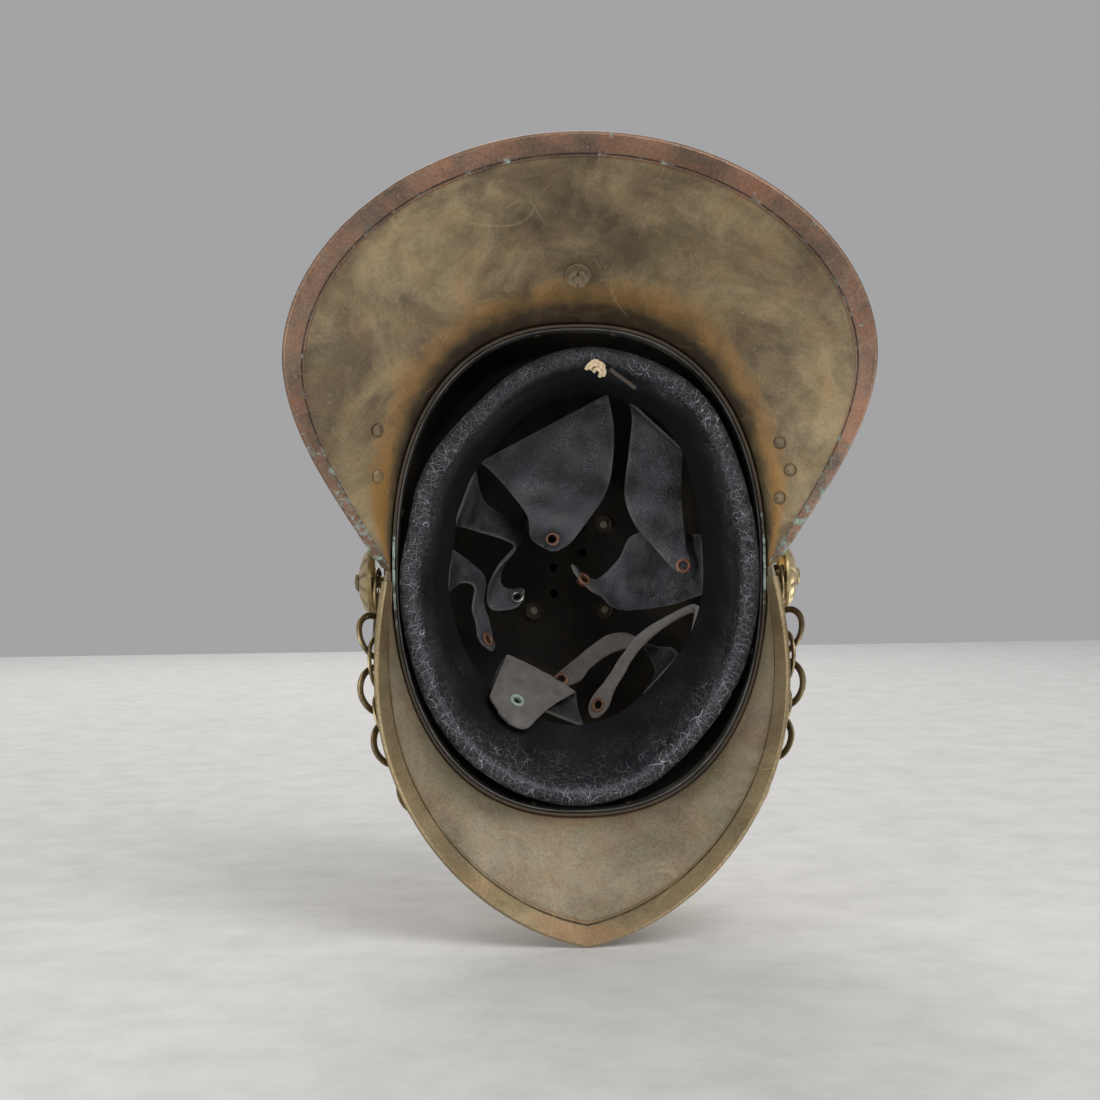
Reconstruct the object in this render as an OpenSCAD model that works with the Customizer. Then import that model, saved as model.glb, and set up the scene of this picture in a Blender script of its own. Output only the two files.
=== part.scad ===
// Brass firefighter helmet, worn way up: crown towards +Z, front peak towards -Y, wearer's left is +X.
// Everything is drawn level on the skull's rim and then tipped by stand() onto the two peaks.

/* [Skull] */
// Width of the skull at its rim, outside
skull_w = 174; // [166:1:184]
// Length of the skull at its rim, outside
skull_l = 229; // [220:1:238]
// Height of the crown above the rim, outside
skull_h = 148; // [138:1:158]
// Thickness of the brass sheet
sheet_t = 1.1; // [0.8:0.1:1.6]
// Diameter of the vent holes in the crown
vent_d = 4.6; // [3:0.2:6]
// Gap between pieces that lie on each other
fit_gap = 0.35; // [0.25:0.05:0.5]

/* [Rear peak] */
// Reach of the rear peak behind the skull's rim
rear_reach = 75.3; // [66:0.5:84]
// Greatest width of the rear peak
rear_w = 261; // [248:1:272]
// Drop of the rear edge below the rim
rear_drop = 62; // [54:1:70]
// Height of the flange that carries both peaks on the skull
flange_h = 6; // [5:0.5:6.5]

/* [Front peak] */
// Reach of the front peak's tip in front of the skull's rim
front_reach = 54; // [48:0.5:60]
// Greatest width of the front peak
front_w = 186; // [183:1:192]
// Drop of the front tip below the rim
front_drop = 30; // [26:1:34]

/* [Edge binding] */
// Width of the strip folded over each peak's edge
bind_w = 8; // [6:0.5:10]
// Thickness of the folded strip
bind_t = 0.8; // [0.6:0.1:1]

/* [Comb] */
// Height of the comb above the skull
comb_h = 46; // [36:1:54]
// Half width of the comb's hollow wall at its foot
comb_half_w = 11; // [9:0.5:13]
// Width of the flat foot beside the wall
comb_foot = 5; // [4:0.5:6]
// Distance of the crown screws from the seam
crown_screw_x = 21; // [19:0.5:22]
// Distance of the crown screws from the middle, fore and aft
crown_screw_y = 24; // [20:1:28]
// Diameter of the comb screws
comb_screw_d = 4; // [3:0.5:5]
// Diameter of the round slotted nuts
nut_d = 9; // [8:0.5:10]
// Thickness of the round slotted nuts
nut_t = 3; // [2:0.5:4]

/* [Front plate] */
// Width of the rayed plate
plate_w = 84; // [72:1:92]
// Height of the rayed plate
plate_h = 92; // [80:1:98]
// Number of rays round the plate
plate_rays = 24; // [16:4:28]
// Width of the oval in the middle
oval_w = 40; // [34:1:46]
// Height of the oval in the middle
oval_h = 50; // [44:1:56]

/* [Side bosses] */
// Diameter of the outer rosette
rosette_d = 35; // [30:1:38]
// Rise of the rosette's dome
rosette_rise = 6; // [4:0.5:8]
// Diameter of the dished disc behind the chain
disc_d = 23; // [20:1:26]
// Diameter of the boss stem
stem_d = 6; // [5:0.5:7]
// Place of the boss in front of the skull's middle
boss_y = -4.5; // [-8:0.5:-2]
// Height of the boss above the rim
boss_z = 20; // [19:0.5:24]

/* [Chin chain] */
// Outside diameter of one ring
ring_d = 24.6; // [23:0.2:25]
// Thickness of the ring's wire
wire_d = 2.2; // [1.8:0.1:2.6]
// Tilt of each ring to the chain's lie
ring_tilt = 17; // [14:1:21]
// Number of rings in the whole chain
ring_count = 31; // [31:2:33]
// Rings in each side arm
arm_rings = 3; // [2:1:3]

/* [Liner] */
// Length of the padded leather roll, outside
roll_l = 216; // [206:1:219]
// Thickness of the padded roll
roll_d = 10; // [8:0.5:12]
// Height of the leather band above the rim
band_h = 46; // [40:1:50]
// Thickness of the leather
leather_t = 2; // [1.6:0.1:2.4]
// Diameter of the eyelet holes in the tongues
eyelet_d = 5; // [4:0.5:6]
// Thickness of the tie cord
tie_d = 2.4; // [2:0.2:3]

/* [Hidden] */
$fn = 48;

brass = [0.62, 0.50, 0.27];
copper = [0.66, 0.42, 0.30];
black_leather = [0.10, 0.10, 0.11];
cord_tan = [0.72, 0.60, 0.42];

// Skull form: plan and profile are rounded boxes between an ellipse and a rectangle
plan_pow = 2.35;
crown_pow = 2.15;
rim_a = skull_w / 2;
rim_b = skull_l / 2;

// Tongue edges from root to tip, left edge then right edge, chosen by eye from the inside view
tongue_roots = [[50, 101], [47, 22], [12, -8], [-52, -92], [-118, -140], [-164, -152], [164, 190],
  [108, 132]];
tongue_edges = [
  [[[41, 49, 52], [-20, 66, 50]], [[32, 39, 55], [-17, 40, 57]], [[23, 26, 58], [-7, 24, 60]],
   [[22, 16, 60], [0, 15, 61]], [[16, 9, 60], [4, 9, 61]]],
  [[[44, 34, 74], [50, 20, 66]], [[26, 20, 84], [30, 12, 72]], [[35, 3, 80], [39, 0, 70]],
   [[37, -4, 81], [44, -12, 75]], [[35, -9, 81], [41, -20, 75]], [[29, -10, 82], [29, -19, 76]],
   [[25, -8, 82], [26, -14, 77]]],
  [[[52, 4, 68], [56, -6, 54]], [[45, -4, 70], [50, -8, 55]], [[46, -16, 69], [51, -18, 54]],
   [[43, -25, 68], [49, -27, 55]], [[41, -34, 67], [48, -34, 56]], [[39, -40, 64], [44, -39, 58]]],
  [[[41, -54, 58], [-1, -71, 58]], [[38.5, -48.5, 66], [-0.5, -67.5, 66]], [[35, -43.5, 64.5], [0.3, -62.6, 64.5]],
   [[35.3, -44.2, 58], [2.5, -62, 57.5]], [[40, -54, 43], [15, -68, 42]], [[44, -63, 29], [28.5, -79.5, 25]]],
  [[[-40, -51, 68], [-48, -40, 64]], [[-30, -35, 84], [-34, -40, 74]], [[-18, -34, 84], [-20, -42, 74]],
   [[-8, -40, 80], [-8, -50, 74]], [[0, -46, 76], [-3, -56, 71]], [[8, -52, 73], [5, -59, 69]],
   [[13, -56, 71], [12, -60, 69]]],
  [[[-58, -19, 62], [-58, -22, 52]], [[-44, -26, 66], [-44, -29, 55]], [[-31, -34, 67], [-32, -39, 57]],
   [[-23, -45, 66], [-24, -51, 58]], [[-15, -56, 64], [-19, -60, 57]], [[-7, -66, 62], [-16, -68, 56]],
   [[-6, -73, 60], [-10, -75, 57]]],
  [[[-57, 17, 62], [-60, -15, 64]], [[-44, 19, 66], [-48, -19, 70]], [[-29, 16, 66], [-32, -21, 72]],
   [[-22, 4, 66], [-20, -20, 70]], [[-12, -5, 64], [-13, -13, 62]], [[-4, -3, 61], [-6, -9, 58]],
   [[3, 2, 59], [2, -1, 57]]],
  [[[-29, 74, 51], [-54, 56, 51]], [[-27, 56, 52], [-53, 48, 51]], [[-25, 36, 53], [-53, 32, 51]],
   [[-30, 21, 53], [-54, 19, 51]], [[-40, 9, 53], [-55, 10, 51]], [[-49, -1, 52], [-57, 4, 51]],
   [[-54, -3, 51], [-58, 0, 51]]]];
// Rear cord: knot centre and the lace's way along the slit
knot_xy = [-9, 99];
lace_way = [[-15.1, 98], [-19, 95], [-23, 92], [-27, 89]];
// Rivets through the rear peak: place along the edge and across the brim, from the ear
rear_rivets = [[-0.66, 0.42], [-0.74, 0.50], [-0.80, 0.40], [0.62, 0.44], [0.73, 0.40]];
rear_rivet_d = 3;
vent_spots = [[8, 0], [8, 14], [-8, 8], [-8, -6], [8, -14], [-8, 22]];
plate_stud_spots = [[-26, 62], [26, 62], [0, 96]];
plate_stud_d = 3;
hoop_rivet_turns = [14, 46, 78, 102, 134, 166, 200, 228, 255, 285, 312, 340];
hoop_rivet_z = 9;
hoop_rivet_d = 2.6;

// Small helpers
function unit(v) = v / norm(v);
function lerp(a, b, k) = a + (b - a) * k;
function clamp(v, low, high) = min(max(v, low), high);
function bez(p, t) = p[0] * pow(1 - t, 3) + 3 * p[1] * t * pow(1 - t, 2) + 3 * p[2] * t * t * (1 - t)
  + p[3] * pow(t, 3);
function flat(rows) = [for (row = rows) for (p = row) p];
function turn_x(p, a) = [p.x, p.y * cos(a) - p.z * sin(a), p.y * sin(a) + p.z * cos(a)];
function spline_at(p, t) = let (n = len(p) - 1, i = min(floor(t), n - 1), k = t - i,
  a = p[max(i - 1, 0)], b = p[i], c = p[i + 1], d = p[min(i + 2, n)])
  0.5 * (2 * b + (c - a) * k + (2 * a - 5 * b + 4 * c - d) * k * k + (3 * b - a - 3 * c + d) * pow(k, 3));

// A sheet between an outer and an inner grid of points, closed round its four edges
function sheet_faces(m, n) = let (s = n + 1, h = (m + 1) * s) concat(
  [for (i = [0:m - 1], j = [0:n - 1]) each [[i * s + j, i * s + j + 1, (i + 1) * s + j + 1],
    [i * s + j, (i + 1) * s + j + 1, (i + 1) * s + j]]],
  [for (i = [0:m - 1], j = [0:n - 1]) each [[h + i * s + j, h + (i + 1) * s + j + 1, h + i * s + j + 1],
    [h + i * s + j, h + (i + 1) * s + j, h + (i + 1) * s + j + 1]]],
  [for (j = [0:n - 1]) each [[j, h + j, h + j + 1], [j, h + j + 1, j + 1]]],
  [for (j = [0:n - 1]) let (o = m * s + j) each [[o, h + o + 1, h + o], [o, o + 1, h + o + 1]]],
  [for (i = [0:m - 1]) let (o = i * s, q = o + s) each [[o, q, h + q], [o, h + q, h + o]]],
  [for (i = [0:m - 1]) let (o = i * s + n, q = o + s) each [[o, h + q, q], [o, h + o, h + q]]]);
module sheet(outer, inner) {
  polyhedron(concat(flat(outer), flat(inner)), sheet_faces(len(outer) - 1, len(outer[0]) - 1));
}

// A closed section carried round a closed loop
module loop_body(rings) {
  m = len(rings);
  n = len(rings[0]);
  faces = [for (i = [0:m - 1], j = [0:n - 1]) let (a = i * n + j, b = i * n + (j + 1) % n,
    c = ((i + 1) % m) * n + (j + 1) % n, d = ((i + 1) % m) * n + j) each [[a, c, b], [a, d, c]]];
  polyhedron(flat(rings), faces);
}

// Skull surface at turn u from the wearer's left towards the rear, and at a lift from rim to crown
function rim_unit(u) = let (c = cos(u), s = sin(u),
  k = pow(pow(abs(c), plan_pow) + pow(abs(s), plan_pow), -1 / plan_pow)) [k * c, k * s];
function wall_share(z, grow) = pow(1 - pow(clamp(z / (skull_h + grow), 0, 1), crown_pow), 1 / crown_pow);
function skull_pt(u, z, grow) = let (g = wall_share(z, grow), r = rim_unit(u))
  [(rim_a + grow) * g * r.x, (rim_b + grow) * g * r.y, z];
function lift_z(lift, grow) = (skull_h + grow) * pow(sin(lift), 2 / crown_pow);
function skull_level(p, grow) = pow(pow(abs(p.x) / (rim_a + grow), plan_pow)
  + pow(abs(p.y) / (rim_b + grow), plan_pow), crown_pow / plan_pow)
  + pow(max(p.z, 0) / (skull_h + grow), crown_pow);
// Distance down a line from p along d to the skull's surface
function reach(p, d, grow, low, high, n) = n == 0 ? (low + high) / 2 : let (mid = (low + high) / 2)
  skull_level(p + d * mid, grow) > 1 ? reach(p, d, grow, mid, high, n - 1)
  : reach(p, d, grow, low, mid, n - 1);
function front_y(x, z) = -rim_b * pow(pow(1 - pow(z / skull_h, crown_pow), plan_pow / crown_pow)
  - pow(abs(x) / rim_a, plan_pow), 1 / plan_pow);
function side_x(y, z) = rim_a * pow(pow(1 - pow(z / skull_h, crown_pow), plan_pow / crown_pow)
  - pow(abs(y) / rim_b, plan_pow), 1 / plan_pow);
function top_z(x, y, grow) = (skull_h + grow) * pow(1 - pow(pow(abs(x) / (rim_a + grow), plan_pow)
  + pow(abs(y) / (rim_b + grow), plan_pow), crown_pow / plan_pow), 1 / crown_pow);
function crown_normal(x, y) = unit([top_z(x - 1, y, 0) - top_z(x + 1, y, 0),
  top_z(x, y - 1, 0) - top_z(x, y + 1, 0), 2]);

// Peak outlines on one side, from the ear at 0 to the middle at 1
rear_edge = rim_b + rear_reach;
rear_half = rear_w / 2;
front_edge = rim_b + front_reach;
front_half = front_w / 2;
ear_x = rim_a + 4;
ear_drop = 3;
rear_turn = 0.42;
front_turn = 0.35;
rear_mid_y = rim_b * 0.8;
front_mid_y = -rim_b * 0.5;
function rear_line(q) = q < rear_turn
  ? bez([[ear_x, 3], [ear_x + 19, 34], [rear_half - 1, rear_mid_y - 30], [rear_half, rear_mid_y]],
    q / rear_turn)
  : bez([[rear_half, rear_mid_y], [rear_half + 1, rear_mid_y + 48], [rear_half * 0.575, rear_edge],
    [0, rear_edge]], (q - rear_turn) / (1 - rear_turn));
function front_line(q) = q < front_turn
  ? bez([[ear_x - 2, 1], [ear_x + 1, -15], [front_half + 2, front_mid_y + 19], [front_half, front_mid_y]],
    q / front_turn)
  : bez([[front_half, front_mid_y], [front_half - 4, front_mid_y - 58], [front_half * 0.5, -front_edge + 9],
    [0, -front_edge]], (q - front_turn) / (1 - front_turn));

// Under face of a peak: place p runs from the left ear at 1 over the middle at 0 to the right ear at -1
function peak_edge(rear, p) = let (q = 1 - abs(p), e = rear ? rear_line(q) : front_line(q),
  drop = (rear ? rear_drop : front_drop) - ear_drop)
  [p < 0 ? -e.x : e.x, e.y, -ear_drop - drop * (1 - pow(1 - q, rear ? 2.4 : 2))];
function peak_root(rear, p) = let (q = 1 - abs(p), u = (rear ? 90 : -90) * pow(q, rear ? 1.15 : 1.1),
  r = skull_pt(u, flange_h, fit_gap)) [p < 0 ? -r.x : r.x, r.y, r.z];
function peak_pt(rear, p, s) = let (a = peak_root(rear, p), d = peak_edge(rear, p), span = norm(d - a),
  b = a - [0, 0, min(16, 0.45 * span)],
  c = [lerp(d.x, a.x, 0.47), lerp(d.y, a.y, 0.47), lerp(d.z, a.z, 0.38)])
  bez([a, b, c, d], s);
function peak_normal(rear, p, s) = let (e = 0.01,
  dp = peak_pt(rear, clamp(p + e, -1, 1), s) - peak_pt(rear, clamp(p - e, -1, 1), s),
  ds = peak_pt(rear, p, clamp(s + e, 0, 1)) - peak_pt(rear, p, clamp(s - e, 0, 1)),
  n = unit(cross(dp, ds))) rear ? n : -n;
function peak_lift(rear, p, s, h) = peak_pt(rear, p, s) + peak_normal(rear, p, s) * h;
rear_cols = 56;
front_cols = 44;
peak_rows = 8;
function peak_cols(rear) = rear ? rear_cols : front_cols;
function peak_grid(rear, h) = let (n = peak_cols(rear))
  [for (i = [0:n]) [for (j = [0:peak_rows]) peak_lift(rear, 1 - 2 * i / n, j / peak_rows, h)]];
module peak(rear) {
  upper = peak_grid(rear, sheet_t);
  lower = peak_grid(rear, 0);
  if (rear) sheet(lower, upper);
  else sheet(upper, lower);
}

// Folded strip: over the upper face, round the edge and back under the lower face
bind_gap = 0.3;
function bind_start(rear, p) = let (span = norm(peak_edge(rear, p) - peak_root(rear, p)))
  1 - min(bind_w, 0.55 * span) / span;
function bind_row(rear, p, skin) = let (s = bind_start(rear, p), n = peak_normal(rear, p, 1),
  out = unit(peak_pt(rear, p, 1) - peak_pt(rear, p, 0.97)), top = sheet_t + bind_gap + skin,
  low = -bind_gap - skin, side = bind_gap + skin, e = peak_pt(rear, p, 1))
  [peak_lift(rear, p, s, top), peak_lift(rear, p, (1 + s) / 2, top), e + n * top,
   e + n * (top * 0.75) + out * side * 0.8, e + n * (top + low) / 2 + out * side,
   e + n * (low * 0.6) + out * side * 0.8, e + n * low, peak_lift(rear, p, (1 + s) / 2, low),
   peak_lift(rear, p, s, low)];
module binding(rear) {
  n = peak_cols(rear);
  ear = rear ? 0.985 : 0.965;
  outer = [for (i = [0:n]) bind_row(rear, ear * (1 - 2 * i / n), bind_t)];
  inner = [for (i = [0:n]) bind_row(rear, ear * (1 - 2 * i / n), 0)];
  if (rear) sheet(inner, outer);
  else sheet(outer, inner);
}

// Stance: both peaks' edges lie on the ground plane, the middle of the length at Y = 0
rear_rest = flat([for (k = [-8:8]) bind_row(true, k / 16, bind_t)]);
front_rest = flat([for (k = [-4:4]) bind_row(false, k / 16, bind_t)]);
pitch = atan2(peak_edge(false, 0).z - peak_edge(true, 0).z, rear_edge + front_edge);
rear_turned = [for (p = rear_rest) turn_x(p, pitch)];
front_turned = [for (p = front_rest) turn_x(p, pitch)];
lift_up = -min([for (p = concat(rear_turned, front_turned)) p.z]);
mid_y = (max([for (p = rear_turned) p.y]) + min([for (p = front_turned) p.y])) / 2;
module stand() {
  translate([0, -mid_y, lift_up]) rotate([pitch, 0, 0]) children();
}

// Places children with their Z along d at p
module along(p, d) {
  tilt = acos(clamp(d.z / norm(d), -1, 1));
  spin = atan2(d.y, d.x);
  translate(p) rotate([0, tilt, spin]) children();
}

// Skull halves
skull_cols = 26;
skull_rows = 13;
module skull_shell() {
  lifts = [for (j = [0:skull_rows]) 89.2 * pow(j / skull_rows, 0.94)];
  outer = [for (i = [0:skull_cols]) let (u = -90 + 180 * i / skull_cols)
    [for (a = lifts) skull_pt(u, lift_z(a, 0), 0)]];
  inner = [for (i = [0:skull_cols]) let (u = -90 + 180 * i / skull_cols)
    [for (a = lifts) skull_pt(u, lift_z(a, -sheet_t), -sheet_t)]];
  s = skull_rows + 1;
  h = (skull_cols + 1) * s;
  top_out = 2 * h;
  top_in = 2 * h + 1;
  m = skull_cols;
  n = skull_rows;
  walls = [for (i = [0:m - 1], j = [0:n - 1]) each [[i * s + j, i * s + j + 1, (i + 1) * s + j + 1],
    [i * s + j, (i + 1) * s + j + 1, (i + 1) * s + j],
    [h + i * s + j, h + (i + 1) * s + j + 1, h + i * s + j + 1],
    [h + i * s + j, h + (i + 1) * s + j, h + (i + 1) * s + j + 1]]];
  caps = [for (i = [0:m - 1]) each [[i * s + n, top_out, (i + 1) * s + n],
    [h + i * s + n, h + (i + 1) * s + n, top_in]]];
  rims = [for (i = [0:m - 1]) let (o = i * s, q = o + s) each [[o, q, h + q], [o, h + q, h + o]]];
  seam_front = [for (j = [0:n - 1]) each [[j, h + j, h + j + 1], [j, h + j + 1, j + 1]]];
  seam_rear = [for (j = [0:n - 1]) let (o = m * s + j) each [[o, h + o + 1, h + o], [o, o + 1, h + o + 1]]];
  seam_top = [[n, h + n, top_in], [n, top_in, top_out],
    [m * s + n, top_in, h + m * s + n], [m * s + n, top_out, top_in]];
  polyhedron(concat(flat(outer), flat(inner), [[0, 0, skull_h], [0, 0, skull_h - sheet_t]]),
    concat(walls, caps, rims, seam_front, seam_rear, seam_top));
}
module crown_bore(x, y, d) {
  along([x, y, top_z(x, y, 0)], crown_normal(x, y)) cylinder(h = 4 * sheet_t + 4, d = d, center = true);
}
hole_slack = 0.4;
module skull_holes() {
  for (sx = [-1, 1]) {
    for (sy = [-1, 1]) crown_bore(sx * crown_screw_x, sy * crown_screw_y, comb_screw_d + hole_slack);
    translate([sx * side_x(boss_y, boss_z), boss_y, boss_z]) rotate([0, 90, 0])
      cylinder(h = 12, d = stem_d + hole_slack, center = true);
  }
  for (v = vent_spots) crown_bore(v.x, v.y, vent_d);
  for (v = plate_stud_spots) plate_bore(v, plate_stud_d + hole_slack);
  for (u = hoop_rivet_turns) hoop_bore(u, hoop_rivet_d + hole_slack);
}
module plate_bore(v, d) {
  translate([v.x, front_y(v.x, v.y), v.y]) rotate([90, 0, 0]) cylinder(h = 24, d = d, center = true);
}
function rim_out(u) = let (t = unit(skull_pt(u + 1, 0, 0) - skull_pt(u - 1, 0, 0))) [t.y, -t.x, 0];
module hoop_bore(u, d) {
  along(skull_pt(u, hoop_rivet_z, 0), rim_out(u)) cylinder(h = 12, d = d, center = true);
}
module skull_left() {
  color(brass) stand() difference() {
    skull_shell();
    skull_holes();
  }
}
module skull_right() {
  color(brass) stand() difference() {
    mirror([1, 0, 0]) skull_shell();
    skull_holes();
  }
}

// Peaks, bindings and rivets
tail_s = 0.45;
module tail_bore(d) {
  along(peak_lift(true, 0, tail_s, 0), peak_normal(true, 0, tail_s)) cylinder(h = 16, d = d, center = true);
}
module rear_rivet_bores(d) {
  for (v = rear_rivets) along(peak_lift(true, v[0], v[1], 0), peak_normal(true, v[0], v[1]))
    cylinder(h = 8, d = d, center = true);
}
module rear_peak() {
  color(brass) stand() difference() {
    peak(true);
    tail_bore(comb_screw_d + hole_slack);
    rear_rivet_bores(rear_rivet_d + hole_slack);
  }
}
module rear_peak_binding() {
  color(copper) stand() binding(true);
}
module rivet(shank_d, head_d, grip) {
  rotate_extrude() polygon([[0, -head_d / 6 - 0.3], [head_d / 3, -head_d / 9 - 0.3], [head_d / 2, -0.3],
    [head_d / 2, 0], [shank_d / 2, 0], [shank_d / 2, grip], [head_d / 2, grip], [head_d / 2, grip + 0.3],
    [head_d / 3, grip + head_d / 9 + 0.3], [0, grip + head_d / 6 + 0.3]]);
}
module rear_peak_rivets() {
  color(copper) stand() for (v = rear_rivets)
    along(peak_lift(true, v[0], v[1], -0.2), peak_normal(true, v[0], v[1]))
      rivet(rear_rivet_d, 6, sheet_t + 0.5);
}
module front_peak() {
  color(brass) stand() peak(false);
}
module front_peak_binding() {
  color(brass) stand() binding(false);
}

// Comb: base line along the seam, over the crown and down onto the rear peak
comb_start = 50;
comb_end = 176;
comb_steps = 28;
tail_steps = 6;
tail_end_s = 0.55;
function seam_pt(a) = [0, (a > 90 ? 1 : -1) * (rim_b + fit_gap) * pow(abs(cos(a)), 2 / crown_pow),
  (skull_h + fit_gap) * pow(sin(a), 2 / crown_pow)];
comb_line = concat([for (i = [0:comb_steps]) seam_pt(lerp(comb_start, comb_end, i / comb_steps))],
  [for (i = [0:tail_steps]) peak_lift(true, 0, tail_end_s * i / tail_steps, sheet_t + fit_gap)]);
comb_last = len(comb_line) - 1;
function walk(line, i, sum) = i >= len(line) ? [sum] : concat([sum],
  walk(line, i + 1, sum + (i < len(line) ? norm(line[i] - line[i - 1]) : 0)));
comb_walk = walk(comb_line, 1, 0);
function comb_share(i) = comb_walk[i] / comb_walk[comb_last];
function comb_tangent(i) = unit(comb_line[min(i + 1, comb_last)] - comb_line[max(i - 1, 0)]);
function comb_up(i) = let (t = comb_tangent(i)) [0, -t.z, t.y];
comb_low = 2;
nose_share = 0.13;
crest_share = 0.3;
flat_share = 0.92;
function comb_fall(t) = 1 - pow(clamp((t - crest_share) / (flat_share - crest_share), 0, 1), 1.25);
function comb_rise(t) = t > nose_share ? 1 : pow(sin(90 * t / nose_share), 0.7);
function comb_height(t) = comb_low + (comb_h - comb_low) * comb_rise(t) * comb_fall(t);
function comb_wall(t) = 4.5 + (comb_half_w - 4.5) * (0.45 * comb_rise(t) + 0.55) * pow(comb_fall(t), 0.8);
function comb_wing(i) = let (y = comb_line[i].y / 38, on = comb_line[i].z > rim_a ? 1 : 0)
  on * (crown_screw_x - 4.5) * exp(-y * y);
function foot_drop(i, x) = i > comb_steps ? x * x / 300
  : reach(comb_line[i] + [x, 0, 0] + comb_up(i), -comb_up(i), fit_gap, 0, 40, 16) - 1;
levels = [0, 0, 0.02, 0.06, 0.25, 0.5, 0.78, 0.93, 1];
widths = [1, 1, 1, 1, 0.94, 0.76, 0.5, 0.3, 0];
inset = [0, 0, 0.6, 1, 1, 1, 0.9, 0.7, 0];
function comb_section(i, skin) = let (t = comb_share(i), h = comb_height(t) - sheet_t, w = comb_wall(t),
  up = comb_up(i), foot = w + comb_foot + comb_wing(i))
  [for (j = [0:8]) let (x = j == 0 ? foot : j == 1 ? (foot + w + 1.2) / 2 : j == 2 ? w + 1.2 : w * widths[j],
    xs = x - (1 - skin) * inset[j] * sheet_t)
    comb_line[i] + [xs, 0, 0] + up * (levels[j] * h + skin * sheet_t - foot_drop(i, x))];
module comb_half() {
  outer = [for (i = [0:comb_last]) comb_section(i, 1)];
  inner = [for (i = [0:comb_last]) comb_section(i, 0)];
  sheet(outer, inner);
}
module comb_holes() {
  for (sx = [-1, 1], sy = [-1, 1])
    crown_bore(sx * crown_screw_x, sy * crown_screw_y, comb_screw_d + hole_slack);
  tail_bore(comb_screw_d + hole_slack);
}
module comb_left() {
  color(brass) stand() difference() {
    comb_half();
    comb_holes();
  }
}
module comb_right() {
  color(brass) stand() difference() {
    mirror([1, 0, 0]) comb_half();
    comb_holes();
  }
}

// Screws with domed heads outside, washers and round slotted nuts inside; Z points outwards, 0 on the skin
washer_t = 0.8;
slot_w = 1.3;
slot_deep = 1;
head_d = 7.5;
head_t = 2;
module screw(grip_out, reach_in) {
  translate([0, 0, -reach_in]) cylinder(h = reach_in + grip_out, d = comb_screw_d);
  difference() {
    translate([0, 0, grip_out]) rotate_extrude() polygon([[0, 0], [head_d / 2, 0], [head_d / 2, head_t * 0.4],
      [head_d * 0.36, head_t * 0.8], [0, head_t]]);
    translate([-head_d, -slot_w / 2, grip_out + head_t * 0.5]) cube([2 * head_d, slot_w, head_t]);
  }
}
module washer(d, hole) {
  difference() {
    cylinder(h = washer_t, d = d);
    translate([0, 0, -1]) cylinder(h = washer_t + 2, d = hole);
  }
}
module slotted_nut(d, hole) {
  difference() {
    cylinder(h = nut_t, d = d);
    translate([0, 0, -1]) cylinder(h = nut_t + 2, d = hole);
    translate([-d, -slot_w / 2, -1]) cube([2 * d, slot_w, slot_deep + 1]);
  }
}
grip_in = sheet_t + fit_gap + 0.3;
nut_low = grip_in + washer_t + 0.1 + nut_t;
module at_crown_screws() {
  for (sx = [-1, 1], sy = [-1, 1]) let (x = sx * crown_screw_x, y = sy * crown_screw_y)
    along([x, y, top_z(x, y, 0)], crown_normal(x, y)) children();
}
module comb_screws() {
  color(brass) stand() at_crown_screws() screw(2 * fit_gap + sheet_t + 0.2, nut_low + 1);
}
module comb_washers() {
  color(brass) stand() at_crown_screws() translate([0, 0, -grip_in - washer_t])
    washer(nut_d + 1.6, comb_screw_d + hole_slack);
}
module comb_nuts() {
  color(brass) stand() at_crown_screws() translate([0, 0, -nut_low]) slotted_nut(nut_d, comb_screw_d + 0.2);
}
module at_tail() {
  along(peak_pt(true, 0, tail_s), peak_normal(true, 0, tail_s)) children();
}
tail_washer_d = 12;
tail_floor = fit_gap + washer_t;
module comb_tail_screw() {
  tail_top = sheet_t + 2 * fit_gap + comb_low + 0.2;
  color(brass) stand() at_tail() screw(tail_top, tail_floor + 0.1 + nut_t + 1);
}
module comb_tail_washer() {
  color(brass) stand() at_tail() translate([0, 0, -tail_floor])
    washer(tail_washer_d, comb_screw_d + hole_slack);
}
module comb_tail_nut() {
  color(brass) stand() at_tail() translate([0, 0, -tail_floor - 0.1 - nut_t])
    slotted_nut(nut_d, comb_screw_d + 0.2);
}

// Front plate: a rayed disc that follows the skull, an oval on it and crossed axes on the oval
plate_z = 56;
plate_steps = 4 * plate_rays;
plate_rings = 5;
ray_depth = 0.05;
plate_clear = 0.6;
plate_rise = 2.4;
flute_h = 0.8;
function plate_off(x, z) = let (r2 = pow(x / plate_w * 2, 2) + pow((z - plate_z) / plate_h * 2, 2),
  a = atan2(z - plate_z, x)) plate_clear + plate_rise * max(0, 1 - r2)
  + flute_h * clamp(r2 * 2 - 0.6, 0, 1) * (0.5 + 0.5 * cos(plate_rays * a));
function plate_pt(r, a, h) = let (k = r * (1 - ray_depth + ray_depth * cos(plate_rays * a)),
  x = k * plate_w / 2 * cos(a), z = plate_z + k * plate_h / 2 * sin(a))
  [x, front_y(x, z) - plate_off(x, z) - h, z];
function disc_faces(m, n) = let (h = 1 + m * n) concat(
  [for (k = [0:n - 1]) let (l = (k + 1) % n) each [[0, 1 + k, 1 + l], [h, h + 1 + l, h + 1 + k]]],
  [for (i = [0:m - 2], k = [0:n - 1]) let (l = (k + 1) % n, a = 1 + i * n + k, b = 1 + i * n + l) each
    [[a, a + n, b + n], [a, b + n, b], [h + a, h + b + n, h + a + n], [h + a, h + b, h + b + n]]],
  [for (k = [0:n - 1]) let (l = (k + 1) % n, a = 1 + (m - 1) * n + k, b = 1 + (m - 1) * n + l) each
    [[a, h + a, h + b], [a, h + b, b]]]);
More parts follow.
